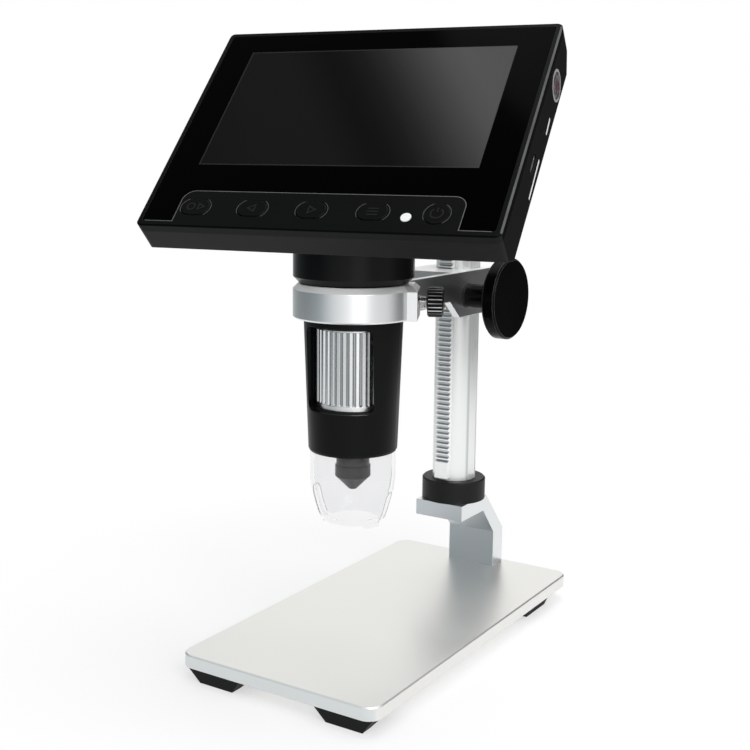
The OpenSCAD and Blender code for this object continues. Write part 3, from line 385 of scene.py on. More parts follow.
SATIN_METALS = {  # slot: colour, roughness, grain size and depth, spread, soft edge, stretch, drift
    "satin_aluminium": ((0.840, 0.836, 0.815), 0.37, 0.35, 0.002, 0.02),
    "grey_aluminium": ((0.790, 0.810, 0.820), 0.30, 0.30, 0.0015, 0.03),
    "arm_aluminium": ((0.780, 0.795, 0.800), 0.30, 0.25, 0.0006, 0.02, 0.3, (1, 1, 5)),
    "column_metal": ((0.850, 0.860, 0.855), 0.28, 0.20, 0.0002, 0.01, 0.0, (1, 1, 60), 0.3),
    "rack_steel": ((0.640, 0.660, 0.665), 0.30, 0.25, 0.003, 0.06, 0.12, (3, 1, 1)),
    "drum_aluminium": ((0.690, 0.705, 0.710), 0.26, 0.20, 0.003, 0.05, 0.10, (1, 1, 12)),
    "steel": ((0.62, 0.62, 0.61), 0.28, 0.15, 0.004, 0.05, 0.08),
    "dark_steel": ((0.09, 0.09, 0.095), 0.35, 0.15, 0.004, 0.08, 0.08),
    "sheet_metal": ((0.68, 0.68, 0.67), 0.32, 0.6, 0.004, 0.06, 0.08),
    "gear_brass": ((0.58, 0.56, 0.51), 0.28, 0.15, 0.003, 0.05, 0.06),
    "pouch_silver": ((0.66, 0.67, 0.69), 0.42, 2.5, 0.10, 0.05, 0.5),
}
for slot, numbers in SATIN_METALS.items():
    satin_metal(slot, *numbers)

# %% [markdown]
# Six of the metals are not the same all over, and most of that is painted light. The front faces
# of the bracket and the stage are painted a bluer, darker grey than their milled sides, a painted
# shade. The arm's faces that look up are painted lighter and made dull, a painted highlight, while
# its sides stay bright metal. The column is drawn and then bead-blasted lightly, so that it is half
# matt, and a painted dark line, a painted shade, runs down both edges of its side grooves. The tips
# of the rack's teeth and its right side are painted bright and matt, a painted highlight, and the
# grooves of the drum are painted dark, a painted shade: tips and grooves follow the distance from
# the middle of the column and of the drum.

# %% Painted shade and highlights: fronts, tops, tips and grooves
DRUM_GROOVE = 12.2  # radius below which a groove is painted dark, a painted shade
COLUMN_AXIS = 72  # its y
RACK_TIP = 10.45  # from the column's axis to just below the tips of the teeth
GROOVE_EDGE = (3.45, 0.55)  # where the painted dark line at a groove's edge lies, a painted shade, and its half width
bracket, stage, arm = (FINISHES[f"{name}_aluminium"] for name in ("grey", "satin", "arm"))
column, rack, drum = (FINISHES[slot] for slot in ("column_metal", "rack_steel", "drum_aluminium"))
# Painted shade: the front faces of the bracket and of the stage are painted darker and bluer.
bracket.over(bracket.facing(1, -0.6), (0.565, 0.600, 0.622))
stage.over(stage.facing(1, -0.6), (0.690, 0.720, 0.720))
# Painted highlight: faces that look up are painted lighter and made dull.
top_highlight = arm.facing(2, 0.4)
arm.over(top_highlight, (0.90, 0.905, 0.905))
arm.set(Metallic=1 - 0.85 * top_highlight)
_, along_y, _ = column.split(column.place)
# Painted shade: a dark line along each edge of the column's side grooves.
groove_edge = (abs(along_y - COLUMN_AXIS) - GROOVE_EDGE[0]).within(GROOVE_EDGE[1], 0.9)
column.over(groove_edge * 0.65, (0.36, 0.38, 0.38))
column.set(Metallic=0.35)
_, along_y, _ = rack.split(rack.place)
# Painted highlight: the tips of the teeth and the rack's right side are painted bright and matt.
tips = (COLUMN_AXIS - along_y).above(RACK_TIP, 0.1)
bright = tips.math("MAXIMUM", tips, rack.facing(0, 0.6))
rack.over(bright, (0.94, 0.95, 0.95))
rack.set(Metallic=1 - 0.9 * bright)
along_x, along_y, _ = drum.split(drum.place)
# Painted shade: the grooves between the drum's ridges are painted dark.
grooves = 1 - distance(along_x, along_y).above(DRUM_GROOVE, 0.3)
drum.over(grooves * 0.68, (0.20, 0.21, 0.215))
print("six metals vary over their surface")

# %% [markdown]
# ## Black parts
# Nearly everything black here is moulded or sprayed, and it is seen by its reflections alone: the
# paint returns almost nothing. The pieces differ in gloss and in texture. The neck is smooth, the
# monitor's back has a spark texture, and the rubber feet are dull. Where a finish asks for it, a
# thin lighter line is painted along its edges, partly wear from handling and partly a painted
# highlight.


# %% Black finishes
def black(slot, colour, roughness, specular, grain_size, grain_depth, edge_highlight=0.0, soft_edge=0.2):
    """Dark plastic, rubber or lacquer: a grain, drifting gloss and edges painted lighter, partly wear and
    partly a painted highlight.
    """
    finish = Finish(slot, colour, roughness, specular_ior_level=specular)
    fine = finish.grain(grain_size, 3)
    clouds = finish.grain(18, 2)
    tone = finish.shade(clouds * 0.5 + fine * 0.5, 0.18)
    if edge_highlight:
        # Painted highlight, partly wear: the edges are mixed towards grey.
        wear_and_highlight = finish.edges(soft_edge)
        finish.set(**{"Base Color": finish.mix(wear_and_highlight * edge_highlight, tone, (0.5, 0.5, 0.5))})
    finish.set(Roughness=roughness + (clouds - 0.5) * 0.12)
    finish.relief(fine, grain_depth, soft_edge)
    keep(finish, slot)


BLACKS = {  # slot: colour, roughness, specular level, grain size and depth in mm, painted edge highlight, soft edge
    "tube_black": ((0.0028, 0.0031, 0.0033), 0.34, 0.10, 0.25, 0.001, 0.02),
    "housing_black": ((0.0020, 0.0022, 0.0022), 0.42, 0.15, 0.45, 0.008, 0.03),
    "frame_black": ((0.0014, 0.0018, 0.0017), 0.36, 0.03, 0.30, 0.003, 0.06),
    "key_black": ((0.0014, 0.0018, 0.0017), 0.32, 0.03, 0.30, 0.002, 0.10),
    "knob_black": ((0.0012, 0.0014, 0.0014), 0.24, 0.09, 0.20, 0.001, 0.45, 0.35),
    "ridged_black": ((0.0016, 0.0018, 0.0018), 0.30, 0.20, 0.20, 0.001, 0.0, 0.1),
    "black_plastic": ((0.0045, 0.0052, 0.0045), 0.45, 0.20, 0.35, 0.006, 0.04),
    "dark_plastic": ((0.010, 0.010, 0.010), 0.60, 0.35, 0.30, 0.006),
    "foot_rubber": ((0.0020, 0.0024, 0.0026), 0.60, 0.15, 0.50, 0.012, 0.04),
    "nose_grey": ((0.008, 0.0078, 0.0076), 0.30, 0.30, 0.20, 0.002, 0.04),
    "chip_black": ((0.016, 0.016, 0.017), 0.55, 0.40, 0.15, 0.004),
}
for slot, numbers in BLACKS.items():
    black(slot, *numbers)

# %% [markdown]
# Two of them need more. The neck is one moulding with the monitor's back but is left smooth, so
# its gloss is sharper below the screen. The thumb screw's ridges get a painted highlight along
# their crests, stronger on some than on others, and the lowest ones, which are in shade, get none.
# The finish finds a crest by the angle round the screw's own axis and by the distance from it. Its
# head has a finish of its own for that, which is still filed under the knob's slot.

# %% Neck and thumb screw ridges
NECK = (20.3, 150)  # outer radius and top
HOUSING_ROUGHNESS, NECK_ROUGHNESS = 0.42, 0.22
SCREW_ANGLE, SCREW_HEIGHT = math.radians(27), 115.95
RIDGES = 24
RIDGE_CREST = 4.8  # radius above which a ridge gets the painted highlight
CREST = 0.12  # half width of a painted highlight line, as a share of the step from ridge to ridge
LOWEST_CREST = -3.6  # from the screw's axis; the ridges below it are in shade and get no painted highlight
housing, ridged = FINISHES["housing_black"], FINISHES["ridged_black"]
along_x, along_y, along_z = housing.split(housing.place)
on_neck = (1 - distance(along_x, along_y).above(NECK[0], 0.2)) * (1 - along_z.above(NECK[1], 1))
smoother = (HOUSING_ROUGHNESS - NECK_ROUGHNESS) * on_neck
housing.set(Roughness=HOUSING_ROUGHNESS - smoother + (housing.grain(18, 2) - 0.5) * 0.10)
along_x, along_y, along_z = ridged.split(ridged.place)
sideways = along_y * math.cos(SCREW_ANGLE) - along_x * math.sin(SCREW_ANGLE)
rise = along_z - SCREW_HEIGHT
steps = sideways.math("ARCTAN2", sideways, rise) * (RIDGES / (2 * math.pi)) + RIDGES
crests = abs(steps.math("FRACT", steps) - 0.5).above(0.5 - CREST, 0.06)
outer = distance(sideways, rise).above(RIDGE_CREST, 0.15) * rise.above(LOWEST_CREST, 0.8)
# Painted highlight on the crests, stronger on some ridges than on others.
wear_and_highlight = 0.25 + 0.75 * ridged.grain(1.3, 1, (9, 9, 1)).above(0.5, 0.3)
ridged.over(crests * outer * wear_and_highlight, (0.80, 0.805, 0.805))
ridged.slot = "knob_black"
OWN_FINISH = {"clamp_screw_head": "ridged_black"}
print("neck and thumb screw are set")

# %% [markdown]
# ## Clear parts
# The cap and the lenses are clear all through. Light is bent at each face of a lens as in real
# glass. The cap's plastic is given almost no bend and a separate glossy coat: with the full bend a
# thin wall fills up with dark images of the tube above it, and with a middling one its rims
# sparkle in dots. It is slightly milky, so a small part of it is plain white plastic.


# %% Clear plastic and glass
def clear(slot, colour, roughness, bend, coat, clarity=1.0):
    """Something to look through, with a faint ripple in its faces."""
    finish = Finish(slot, colour, roughness, transmission_weight=clarity, ior=bend,
                    coat_weight=coat, coat_roughness=0.04)
    ripple = finish.grain(6, 1)
    finish.shade(ripple, 0.01)
    finish.relief(ripple, 0.02)
    keep(finish, slot)


clear("clear_plastic", (0.915, 0.917, 0.922), roughness=0.08, bend=1.012, coat=0.2, clarity=0.985)
clear("lens_glass", (0.96, 0.98, 0.99), roughness=0.0, bend=1.5, coat=0.3)

# Painted light: the indicator's white lens is given a faint glow, though nothing lights it.
milky = Finish("indicator_white", (0.66, 0.67, 0.67), 0.25, coat_weight=0.4)
milky.set(**{"Emission Color": milky.shade(milky.grain(1.2), 0.04), "Emission Strength": 0.05})
milky.relief(milky.grain(0.5), 0.004, 0.1)
keep(milky, "indicator_white")

# %% [markdown]
# ## The screen
# The front glass is printed black from behind, all but the window over the display. A switched-off
# display is dark grey and shows a soft reflection that starts along a slanted line and brightens
# towards the right. The glass itself returns most of that reflection, and the display behind it
# gives the rest, so both are painted by the same function. The screen leans back and is turned
# with the head, so its patterns are drawn in the screen's own coordinates: u to the right, v up
# along the glass, w out of it, in mm from the display's middle. A Mapping node of the texture type
# undoes the screen's place and turn.

# %% Where the screen is
HEAD_TURN = math.radians(10)
SCREEN_TILT = math.radians(45)
NECK_SHOULDER = 122.1  # its height above the stage
SCREEN_MIDDLE = (1.6, 56.6)  # behind the tube's axis and above the neck's shoulder
SCREEN_SIDE = 60.25  # half the width of the whole monitor
DISPLAY = (95.04, 53.86)  # width and height
screen_place = (Matrix.Translation((0, 0, NECK_SHOULDER)) @ Matrix.Rotation(HEAD_TURN, 4, "Z")
                @ Matrix.Translation((0, *SCREEN_MIDDLE)) @ Matrix.Rotation(SCREEN_TILT, 4, "X"))
print("screen middle at", [round(c, 1) for c in screen_place.translation], "mm")


def on_screen(finish):
    """u, v and w in mm as signals."""
    node = finish.node("ShaderNodeMapping", {"vector_type": "TEXTURE"}, {
        "Vector": finish.place, "Location": screen_place.translation,
        "Rotation": (SCREEN_TILT, 0, HEAD_TURN)})
    return finish.split(node.outputs[0])


# %% Front glass
SHEEN_STOPS = [  # how far across the reflection, as a share, and the grey there
    (0.00, 0.0068), (0.17, 0.0080), (0.35, 0.0080), (0.41, 0.0066), (0.48, 0.0047),
    (0.53, 0.0056), (0.59, 0.0090), (0.65, 0.0168), (0.71, 0.030), (0.77, 0.046),
    (0.83, 0.063), (0.89, 0.071), (1.00, 0.065)]
SHEEN_WIDTH = 118  # of the whole reflection, in mm
SHEEN_LEAN = 0.65  # it moves this far to the left for each mm up
SHEEN_RIM = 0.4  # width of the lighter rim
RIM_GREY = (0.05, 0.05, 0.05)
GLASS_SHARE = 0.93  # of the reflection comes from the glass, and the rest from the display behind it


def sheen(finish, u, v):
    """The soft reflection: a grey that follows u plus a share of v, with a thin lighter rim."""
    across = (u + v * SHEEN_LEAN) / SHEEN_WIDTH + 0.5
    stops = [(place, (grey, grey, grey)) for place, grey in SHEEN_STOPS]
    soft = finish.node("ShaderNodeValToRGB", {"stops": stops}, {0: across}).outputs[0]
    grainy = finish.mix(finish.grain(0.3) * 0.06, soft, (0, 0, 0))
    wide, high = (side / 2 - SHEEN_RIM for side in DISPLAY)
    rim = 1 - u.within(wide, 0.3) * v.within(high, 0.3)
    return finish.mix(rim * 0.4, grainy, RIM_GREY)


glass = Finish("screen_glass", (0.0002, 0.0002, 0.0003), 0.10, specular_ior_level=0.006)
u, v, _ = on_screen(glass)
window = u.within(DISPLAY[0] / 2, 0.15) * v.within(DISPLAY[1] / 2, 0.15)
glass.over(window, sheen(glass, u, v))
glass.set(Alpha=1 - (1 - GLASS_SHARE) * window)
glass.relief(glass.grain(20), 0.01)
keep(glass, "screen_glass")

# %% Display
display = Finish("lcd_grey", (0.02, 0.02, 0.02), 0.5, specular_ior_level=0.01)
u, v, _ = on_screen(display)
display.set(**{"Base Color": sheen(display, u, v)})
display.relief(display.grain(0.2), 0.001)
keep(display, "lcd_grey")

# %% Painted highlight down the frame's front edges
FRAME_BEVEL = 0.5
SIDE_MARGIN, BACK_MARGIN = 0.06, 0.05  # by which the mask is wider than the bevel
front = FINISHES["frame_black"]
u, _, w = on_screen(front)
# Painted highlight: the bevel down the front edges is painted a patchy lighter grey.
near_side = (abs(u) + w).above(SCREEN_SIDE - FRAME_BEVEL - SIDE_MARGIN, 0.1)
bevel = near_side * w.above(-FRAME_BEVEL - BACK_MARGIN, 0.1)
front.over(bevel * (0.4 + 0.6 * front.grain(9, 1)), (0.13, 0.133, 0.133))
chin = front.facing(2, -0.25)  # painted light: the underside is painted lighter, as it faces the bright stage
front.over(chin, (0.0125, 0.0132, 0.0130))

# %% [markdown]
# ## Boards, lights and film
# What is inside hardly shows, but it is there when the case comes off: green boards with copper
# tracks under the mask, a white one that carries the ring of lights, their yellow phosphor, and
# the amber film of the camera's cable.


# %% Inner finishes
def board(slot, mask, tracks, roughness):
    """A circuit board: wandering copper tracks that show through the mask as lighter lines."""
    finish = Finish(slot, mask, roughness, coat_weight=0.3, coat_roughness=0.2)
    wander = finish.grain(4, 1)
    lines = abs((wander * 9).math("FRACT", wander * 9) - 0.5)
    track = lines.above(0.36, 0.06)
    finish.set(**{"Base Color": finish.mix(track, mask, tracks)})
    finish.relief(track, 0.03, 0.08)
    keep(finish, slot)


def plain(slot, colour, roughness, grain_size, grain_depth, **more):
    """A simple moulded or printed surface."""
    finish = Finish(slot, colour, roughness, **more)
    fine = finish.grain(grain_size, 3)
    finish.shade(fine, 0.08)
    finish.relief(fine, grain_depth, 0.08)
    keep(finish, slot)


board("green_board", (0.010, 0.115, 0.045), (0.03, 0.24, 0.10), 0.38)
board("white_board", (0.78, 0.78, 0.76), (0.62, 0.62, 0.60), 0.45)
plain("led_yellow", (0.86, 0.80, 0.36), 0.35, 0.4, 0.01, coat_weight=0.5)
plain("ribbon_amber", (0.55, 0.27, 0.05), 0.30, 1.5, 0.01, coat_weight=0.4)

# %% Dress every solid
for row in frame["record"]["subparts"]:
    materials = frame["nodes"][row["node"]].data.materials
    materials.clear()
    materials.append(FINISHES[OWN_FINISH.get(row["node"], row["material_slot"])].material)

# %% [markdown]
# ## Thin things as surfaces
# The lines, signs and the screw's thread are surfaces worked out from a formula over a grid of two
# parameters. `surface` turns such a grid of points into a mesh. Each row of the grid is a loop, and
# the rows follow each other like the rings of a hose, whose ends can be joined too. The finishes of
# thin things are all of one kind, filed under the slot of the solid that each lies on.


# %% Surface
def surface(name, points, finish, body, place, close_rows=False):
    """A mesh from a grid of points in mm with the shape (rows, columns, 3).

    Corner (i, j) is joined to (i, j+1), (i+1, j+1) and (i+1, j). Where the rows are not joined into
    a ring, one face closes each end.
    """
    rows, columns = points.shape[:2]
    flat = np.c_[points.reshape(-1, 3), np.ones(rows * columns)] @ np.array(place).T
    index = np.arange(rows * columns).reshape(rows, columns)
    below = index if close_rows else index[:-1]
    above = np.roll(index, -1, axis=0) if close_rows else index[1:]
    quads = np.stack([below, np.roll(below, -1, 1), np.roll(above, -1, 1), above], -1)
    faces = quads.reshape(-1, 4).tolist()
    if not close_rows:
        faces += [index[0, ::-1].tolist(), index[-1].tolist()]
    mesh = bpy.data.meshes.new(name)
    mesh.from_pydata((flat[:, :3] * MM).tolist(), [], faces)
    mesh.validate()
    thing = bpy.data.objects.new(name, mesh)
    bpy.context.collection.objects.link(thing)
    if volume(mesh) < 0:
        mesh.flip_normals()
    mesh.materials.append(FINISHES[finish].material)
    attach(thing, body)
    print(f"{name}: {len(mesh.polygons)} faces on {body}")
    return thing


def volume(mesh):
    """Six times the volume: the sum of a . (b x c) over the triangles, below 0 if they face inwards."""
    mesh.calc_loop_triangles()
    places = np.empty(len(mesh.vertices) * 3)
    mesh.vertices.foreach_get("co", places)
    corners = np.empty(len(mesh.loop_triangles) * 3, dtype=np.int64)
    mesh.loop_triangles.foreach_get("vertices", corners)
    a, b, c = np.moveaxis(places.reshape(-1, 3)[corners.reshape(-1, 3)], 1, 0)
    return float(np.einsum("ij,ij->", a, np.cross(b, c)))


# %% Thin finishes
def thin_finish(name, slot, colour, roughness, specular, cloud, spread, grain, depth=0.002):
    """A tone that drifts by that spread in clouds of that size in mm, with a finer grain over it."""
    finish = Finish(name, colour, roughness, specular_ior_level=specular)
    finish.shade(finish.grain(cloud), spread)
    finish.relief(finish.grain(grain), depth)
    keep(finish, name, slot)


THIN = {  # name: slot, colour, roughness, specular level, size of the clouds, spread, grain size, depth
    "glass_edge": ("screen_glass", (0.085, 0.09, 0.09), 0.30, 0.3, 4, 0.35, 0.5),
    "sign_black": ("key_black", (0.0034, 0.0038, 0.0038), 0.30, 0.1, 0.4, 0.1, 0.2),
    "bead_grey": ("frame_black", (0.075, 0.078, 0.078), 0.25, 0.3, 2, 0.4, 0.3),
    "clear_edge": ("clear_plastic", (0.42, 0.425, 0.43), 0.25, 0.5, 1.5, 0.15, 0.5),
    "printed_white": ("housing_black", (0.80, 0.80, 0.79), 0.45, 0.5, 0.3, 0.06, 0.3, 0.004),
}
for name, numbers in THIN.items():
    thin_finish(name, *numbers)


# %% Strokes
def arc(middle, radius, start, end, steps=12):
    """Points on a circle's arc, with the angles in degrees."""
    angle = np.radians(np.linspace(start, end, steps))
    return np.c_[middle[0] + radius * np.cos(angle), middle[1] + radius * np.sin(angle)]


MITRE = 0.4  # no bend lengthens the normal by more than one over this


def stroke(name, path, width, low, high, finish, body, closed=False, place=screen_place):
    """A flat-topped line of that width along a path in the plane.

    At each point the path's normal is the mean of its neighbours' directions turned a quarter
    round, lengthened by one over the cosine of half the bend so that the width stays true.
    """
    path = np.asarray(path, float)
    if closed:
        before, after = np.roll(path, 1, 0), np.roll(path, -1, 0)
    else:
        before = np.vstack([2 * path[0] - path[1], path[:-1]])
        after = np.vstack([path[1:], 2 * path[-1] - path[-2]])
    into, out_of = path - before, after - path
    into /= np.linalg.norm(into, axis=1, keepdims=True)
    out_of /= np.linalg.norm(out_of, axis=1, keepdims=True)
    along = into + out_of
    along /= np.linalg.norm(along, axis=1, keepdims=True)
    cosine = np.maximum(np.einsum("ij,ij->i", along, into), MITRE)
    normal = np.c_[-along[:, 1], along[:, 0]] / cosine[:, None]
    left, right = path + normal * width / 2, path - normal * width / 2
    section = [np.c_[side, np.full(len(path), level)] for side, level in (
        (right, low), (right, high), (left, high), (left, low))]
    surface(name, np.stack(section, 1), finish, body, place, close_rows=closed)


# %% [markdown]
# ## The line round the glass
# The cut edge of the glass catches the light where the glass is cut away above the keys. The path
# is that part of the glass's own outline: a short run at the left, over the step with an arc at
# each of its corners, and a short run at the right.

# %% Glass edge
GLASS = (57.2, -51.6)  # half width without the rounded corners, and the lower edge
PANEL = (47.3, -38.6)  # half width and top of the raised key panel
PANEL_CORNER = 4.0
EDGE_SECTION = (0.22, -0.10, 0.04)  # width, foot and top


def step_in_glass():
    """The lower edge of the glass from left to right, over the key panel."""
    wide, low = GLASS
    panel_wide, panel_top = PANEL
    middle = panel_wide - PANEL_CORNER, panel_top - PANEL_CORNER
    return np.vstack([
        [[-wide, low], [-panel_wide, low]],
        arc((-middle[0], middle[1]), PANEL_CORNER, 180, 90),
        arc(middle, PANEL_CORNER, 90, 0),
        [[panel_wide, low], [wide, low]]])


stroke("glass_edge", step_in_glass(), *EDGE_SECTION, "glass_edge", "head")

# %% [markdown]
# ## Signs on the keys
# Each key carries a plain sign, slightly proud of its top and hardly lighter than the key, so that
# it barely shows: a ring with an arrow, an arrow to the left, an arrow to the right, a menu's bars,
# and the usual broken ring with a bar on the round power key. Each sign rides on its own key. Round
# both ends of each key the panel has a fine raised arc in light grey, a painted highlight where the
# rim of the opening catches the light; it belongs to the frame and stays with the head.

# %% Key signs
KEY_ROW = -45.5  # v of the keys' middles
KEY_FIRST, KEY_PITCH = -41.1, 20.1  # u of the first one, and the step to the next
POWER_KEY = 4
KEY_TOP = 0.3  # w of their tops
SIGN_SECTION = (0.5, KEY_TOP - 0.03, KEY_TOP + 0.07)  # width, foot and top


def triangle(middle, size, way):
    """An arrowhead that points left (-1) or right (+1)."""
    corners = np.array([[way, 0], [-0.6 * way, 0.9 * way], [-0.6 * way, -0.9 * way]])
    return np.array(middle) + size * corners


def sign(name, index, strokes):
    """The strokes of one sign, given about the middle of its key."""
    body = "power_key_body" if index == POWER_KEY else f"key_{index + 1}_body"
    middle = np.array([KEY_FIRST + index * KEY_PITCH, KEY_ROW])
    for number, (path, closed) in enumerate(strokes):
        path = np.asarray(path) + middle
        stroke(f"{name}_{number + 1}", path, *SIGN_SECTION, "sign_black", body, closed)


sign("record_sign", 0, [(arc((-1.5, 0), 1.3, 0, 345, 24), True), (triangle((1.9, 0), 1.3, 1), True)])
sign("back_sign", 1, [(triangle((0, 0), 1.5, -1), True)])
sign("forward_sign", 2, [(triangle((0, 0), 1.5, 1), True)])
sign("menu_sign", 3, [([[-1.8, rise], [1.8, rise]], False) for rise in (-1.2, 0, 1.2)])
sign("power_sign", POWER_KEY, [(arc((0, 0), 1.9, 125, 415, 30), False), ([[0, 0.4], [0, 2.2]], False)])

# %% Painted highlights round the keys
KEY_SIZE = (10.4, 7.0)  # of the openings in the panel
POWER_RADIUS = 4.1
BEAD_GAP = 0.14  # from the opening to the middle of the bead
BEAD_SECTION = (0.13, -0.05, 0.05)  # width, foot and top
BEAD_ENDS = {"left": (-1, 115, 215), "right": (1, -55, 60)}  # side, and the angles it runs between
# Painted highlight: a light grey arc round each end of each key's opening.
for index in range(POWER_KEY + 1):
    shift = 0 if index == POWER_KEY else (KEY_SIZE[0] - KEY_SIZE[1]) / 2
    bead_radius = BEAD_GAP + (POWER_RADIUS if index == POWER_KEY else KEY_SIZE[1] / 2)
    for end_name, (side, start, end) in BEAD_ENDS.items():
        middle = (KEY_FIRST + index * KEY_PITCH + side * shift, KEY_ROW)
        stroke(f"key_highlight_{index + 1}_{end_name}", arc(middle, bead_radius, start, end, 16),
               *BEAD_SECTION, "bead_grey", "head")

# %% [markdown]
# ## The cut edges of the cap's notches
# A clear wall shows where it is cut: the edge over each U-shaped notch looks grey, as it bends the
# light. A thin grey wire follows it, a painted shade in place of that bent light. The path goes up
# one side of the notch, over its round top and down the other side, and its distance from the axis
# is the cap's own outline at that height.

# %% Wires over the notches
CAP_FOOT = 41.3  # height of the mouth above the stage
CAP_HEIGHTS = [0, 0.44, 1.76, 4.41, 7.79, 11.03, 14.7]  # above the mouth
CAP_RADII = [9.8, 10.6, 11.3, 12.2, 13.1, 13.9, 14.4]  # of its outside at these heights
NOTCH = (2.2, 8.5)  # half width, and the height of the middle of its round top
NOTCH_FOOT = 0.5  # height at which the wire starts
NOTCH_STEPS = 8  # points up each side
WIRE = 0.10  # its radius
WIRE_SIDES = 8


def notch_edge():
    """The edge of the notch that opens towards +X."""
    half, top = NOTCH
    straight = np.linspace(NOTCH_FOOT, top, NOTCH_STEPS)
    up_side = np.c_[np.full(NOTCH_STEPS, -half), straight]
    down_side = np.c_[np.full(NOTCH_STEPS, half), straight[::-1]]
    notch = np.vstack([up_side, arc((0, top), half, 180, 0, 14)[1:-1], down_side])
    radius = np.interp(notch[:, 1], CAP_HEIGHTS, CAP_RADII)
    return np.c_[np.sqrt(radius ** 2 - notch[:, 0] ** 2), notch]


def wire(name, path, radius, finish, body, place):
    """A round wire along a path: circles across the tangent, one axis of which points outwards."""
    along = np.gradient(path, axis=0)
    along /= np.linalg.norm(along, axis=1, keepdims=True)
    outwards = path * (1, 1, 0)
    outwards -= along * np.einsum("ij,ij->i", outwards, along)[:, None]
    outwards /= np.linalg.norm(outwards, axis=1, keepdims=True)
    across = np.cross(along, outwards)
    angle = np.linspace(0, 2 * np.pi, WIRE_SIDES, endpoint=False)[None, :, None]
    spokes = np.cos(angle) * outwards[:, None] + np.sin(angle) * across[:, None]
    surface(name, path[:, None] + radius * spokes, finish, body, place)


cap_place = Matrix.Translation((0, 0, CAP_FOOT)) @ Matrix.Rotation(HEAD_TURN, 4, "Z")
wire("notch_edge_right", notch_edge(), WIRE, "clear_edge", "cap", cap_place)
wire("notch_edge_left", notch_edge() * (-1, -1, 1), WIRE, "clear_edge", "cap", cap_place)

# %% [markdown]
# ## The right side
# A plain round seal covers a screw, and a short and a long white line are printed beside the
# reset hole and the USB inlet. They lie on the monitor's right side face, so their plane is turned
# about the v axis: its own axes are -w, v and u.

# %% Seal and printed lines
QUARTER_TURN = Matrix.Rotation(math.radians(90), 4, "Y")
SIDE_FACE = screen_place @ Matrix.Translation((SCREEN_SIDE, 0, 0)) @ QUARTER_TURN
SEAL_AT, SEAL_RADIUS = (9.6, 18.8), 5.2  # its place along -w and v
SEAL_PRINT, SEAL_CENTRE = 4.3, 2.2  # radii of the dark print and of the red blot
SEAL_SIDES = 64
PRINTED = {"reset_line": [[11.9, 6.4], [12.6, 0.1]], "usb_line": [[12.8, -10.9], [13.6, -26.4]]}
PRINT_SECTION = (0.9, 0.0, 0.05)  # width, foot and top
paper = Finish("seal_paper", (0.36, 0.345, 0.35), 0.35, coat_weight=0.3)
_, v, w = on_screen(paper)
from_middle = distance(v - SEAL_AT[1], w + SEAL_AT[0])
inside = 1 - from_middle.above(SEAL_PRINT, 0.3)
centre = 1 - from_middle.above(SEAL_CENTRE, 1.2)
blots = paper.grain(1.6, 2).above(0.5, 0.16)
paper.over(inside * (0.55 + 0.4 * blots), (0.015, 0.014, 0.015))
paper.over(centre * 0.8, (0.10, 0.022, 0.035))
paper.relief(paper.grain(1.2), 0.01)
keep(paper, "seal_paper", "housing_black")
angles = np.linspace(0, 2 * np.pi, SEAL_SIDES, endpoint=False)
disc = np.c_[np.cos(angles), np.sin(angles)]
seal_rings = [(SEAL_RADIUS, 0.0), (SEAL_RADIUS, 0.05), (SEAL_RADIUS - 0.1, 0.09), (0.3, 0.09)]
seal = [np.c_[disc * radius + SEAL_AT, np.full(SEAL_SIDES, level)] for radius, level in seal_rings]
surface("seal", np.stack(seal), "seal_paper", "head", SIDE_FACE)
for name, path in PRINTED.items():
    stroke(name, path, *PRINT_SECTION, "printed_white", "head", place=SIDE_FACE)

# %% [markdown]
# ## The thumb screw's thread
# The solid shank is plain, and here it gets its thread. The thread is a function of the angle and
# of the place along the screw: the radius rises and falls as a triangle wave of the place minus
# the pitch times the turns, so that its ridge climbs by one pitch in one turn.

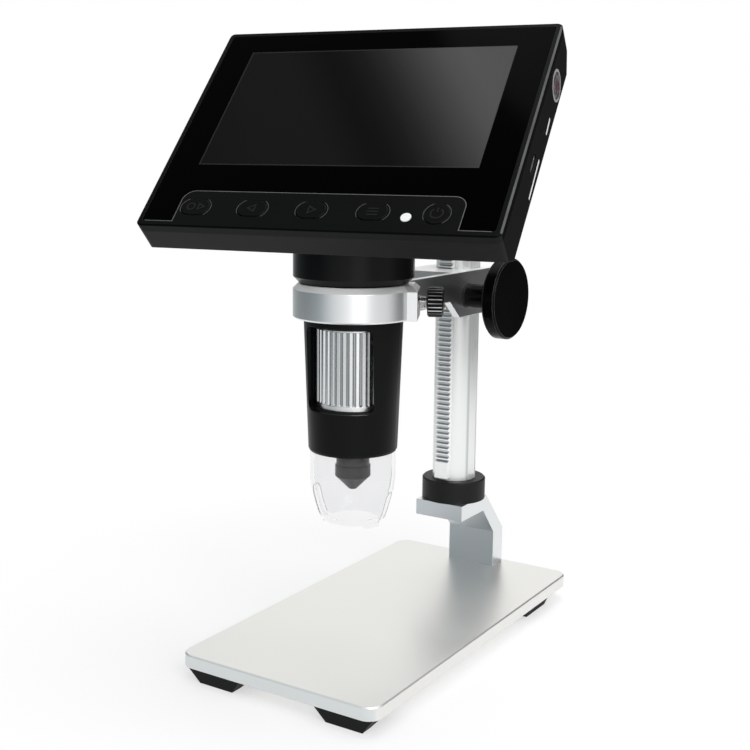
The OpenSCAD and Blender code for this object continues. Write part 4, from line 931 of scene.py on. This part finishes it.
# %% Thread
SCREW_RADIUS, THREAD_DEPTH, THREAD_PITCH = 2.08, 0.38, 0.7
SHANK = (16.9, 27.5)  # where it starts and ends, from the tube's axis
THREAD_GRID = (160, 48)  # steps along the shank and round it
turns = np.linspace(0, 1, THREAD_GRID[1], endpoint=False)[None, :]
reach = np.linspace(*SHANK, THREAD_GRID[0])[:, None]
wave = 2 * np.abs(((reach / THREAD_PITCH - turns) % 1) - 0.5)
radius = SCREW_RADIUS - THREAD_DEPTH * wave
radius[0] = radius[-1] = SCREW_RADIUS - THREAD_DEPTH
shank = np.stack([radius * np.cos(2 * np.pi * turns), radius * np.sin(2 * np.pi * turns),
                  np.broadcast_to(reach, radius.shape)], -1)
screw_axis = Matrix.Translation((0, 0, SCREW_HEIGHT)) @ Matrix.Rotation(SCREW_ANGLE, 4, "Z")
thread = surface("clamp_thread", shank, "steel", "thumb_screw", screw_axis @ QUARTER_TURN)
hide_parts("clamp_screw")

# %% [markdown]
# ## The floor
# A pale disc under the feet takes the soft shadow. It fades to plain white with the distance, so
# that no horizon shows, and it is small, so that the upright metal mirrors the room beyond it.

# %% Floor
FLOOR_RADIUS = 0.45
FLOOR_SIDES = 96
FLOOR_DROP = 0.0002  # below the feet
FLOOR_FADE = (0.13, 0.16)  # the middle and the width of the fade, in metres
FLOOR_WHITE = 0.55  # share of plain white where the fade has not begun
stand_low, stand_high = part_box("base_plate")
floor_middle = (stand_low + stand_high) / 2
floor_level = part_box("front_feet")[0].z - FLOOR_DROP
ring = np.linspace(0, 2 * np.pi, FLOOR_SIDES, endpoint=False)
rim = np.c_[floor_middle.x + FLOOR_RADIUS * np.cos(ring), floor_middle.y + FLOOR_RADIUS * np.sin(ring),
            np.full(FLOOR_SIDES, floor_level)]
floor_mesh = bpy.data.meshes.new("floor")
floor_mesh.from_pydata(rim.tolist(), [], [list(range(FLOOR_SIDES))])
floor = bpy.data.objects.new("floor", floor_mesh)
bpy.context.collection.objects.link(floor)
floor_material = bpy.data.materials.new("floor")
floor_material.use_nodes = True
ground = Graph(floor_material.node_tree)
floor_x, floor_y, _ = ground.split(ground.node("ShaderNodeTexCoord").outputs["Object"])
away = distance(floor_x - floor_middle.x, floor_y - floor_middle.y)
lit = ground.node("ShaderNodeBsdfDiffuse", None, {"Color": (0.93, 0.93, 0.93)}).outputs[0]
white = ground.node("ShaderNodeEmission", None, {"Color": (1, 1, 1), "Strength": 1.0}).outputs[0]
whiter = FLOOR_WHITE + (1 - FLOOR_WHITE) * away.above(*FLOOR_FADE)
blend = ground.node("ShaderNodeMixShader", None, {0: whiter, 1: lit, 2: white})
ground.feed(floor_material.node_tree.nodes["Material Output"].inputs["Surface"], blend.outputs[0])
floor_mesh.materials.append(floor_material)
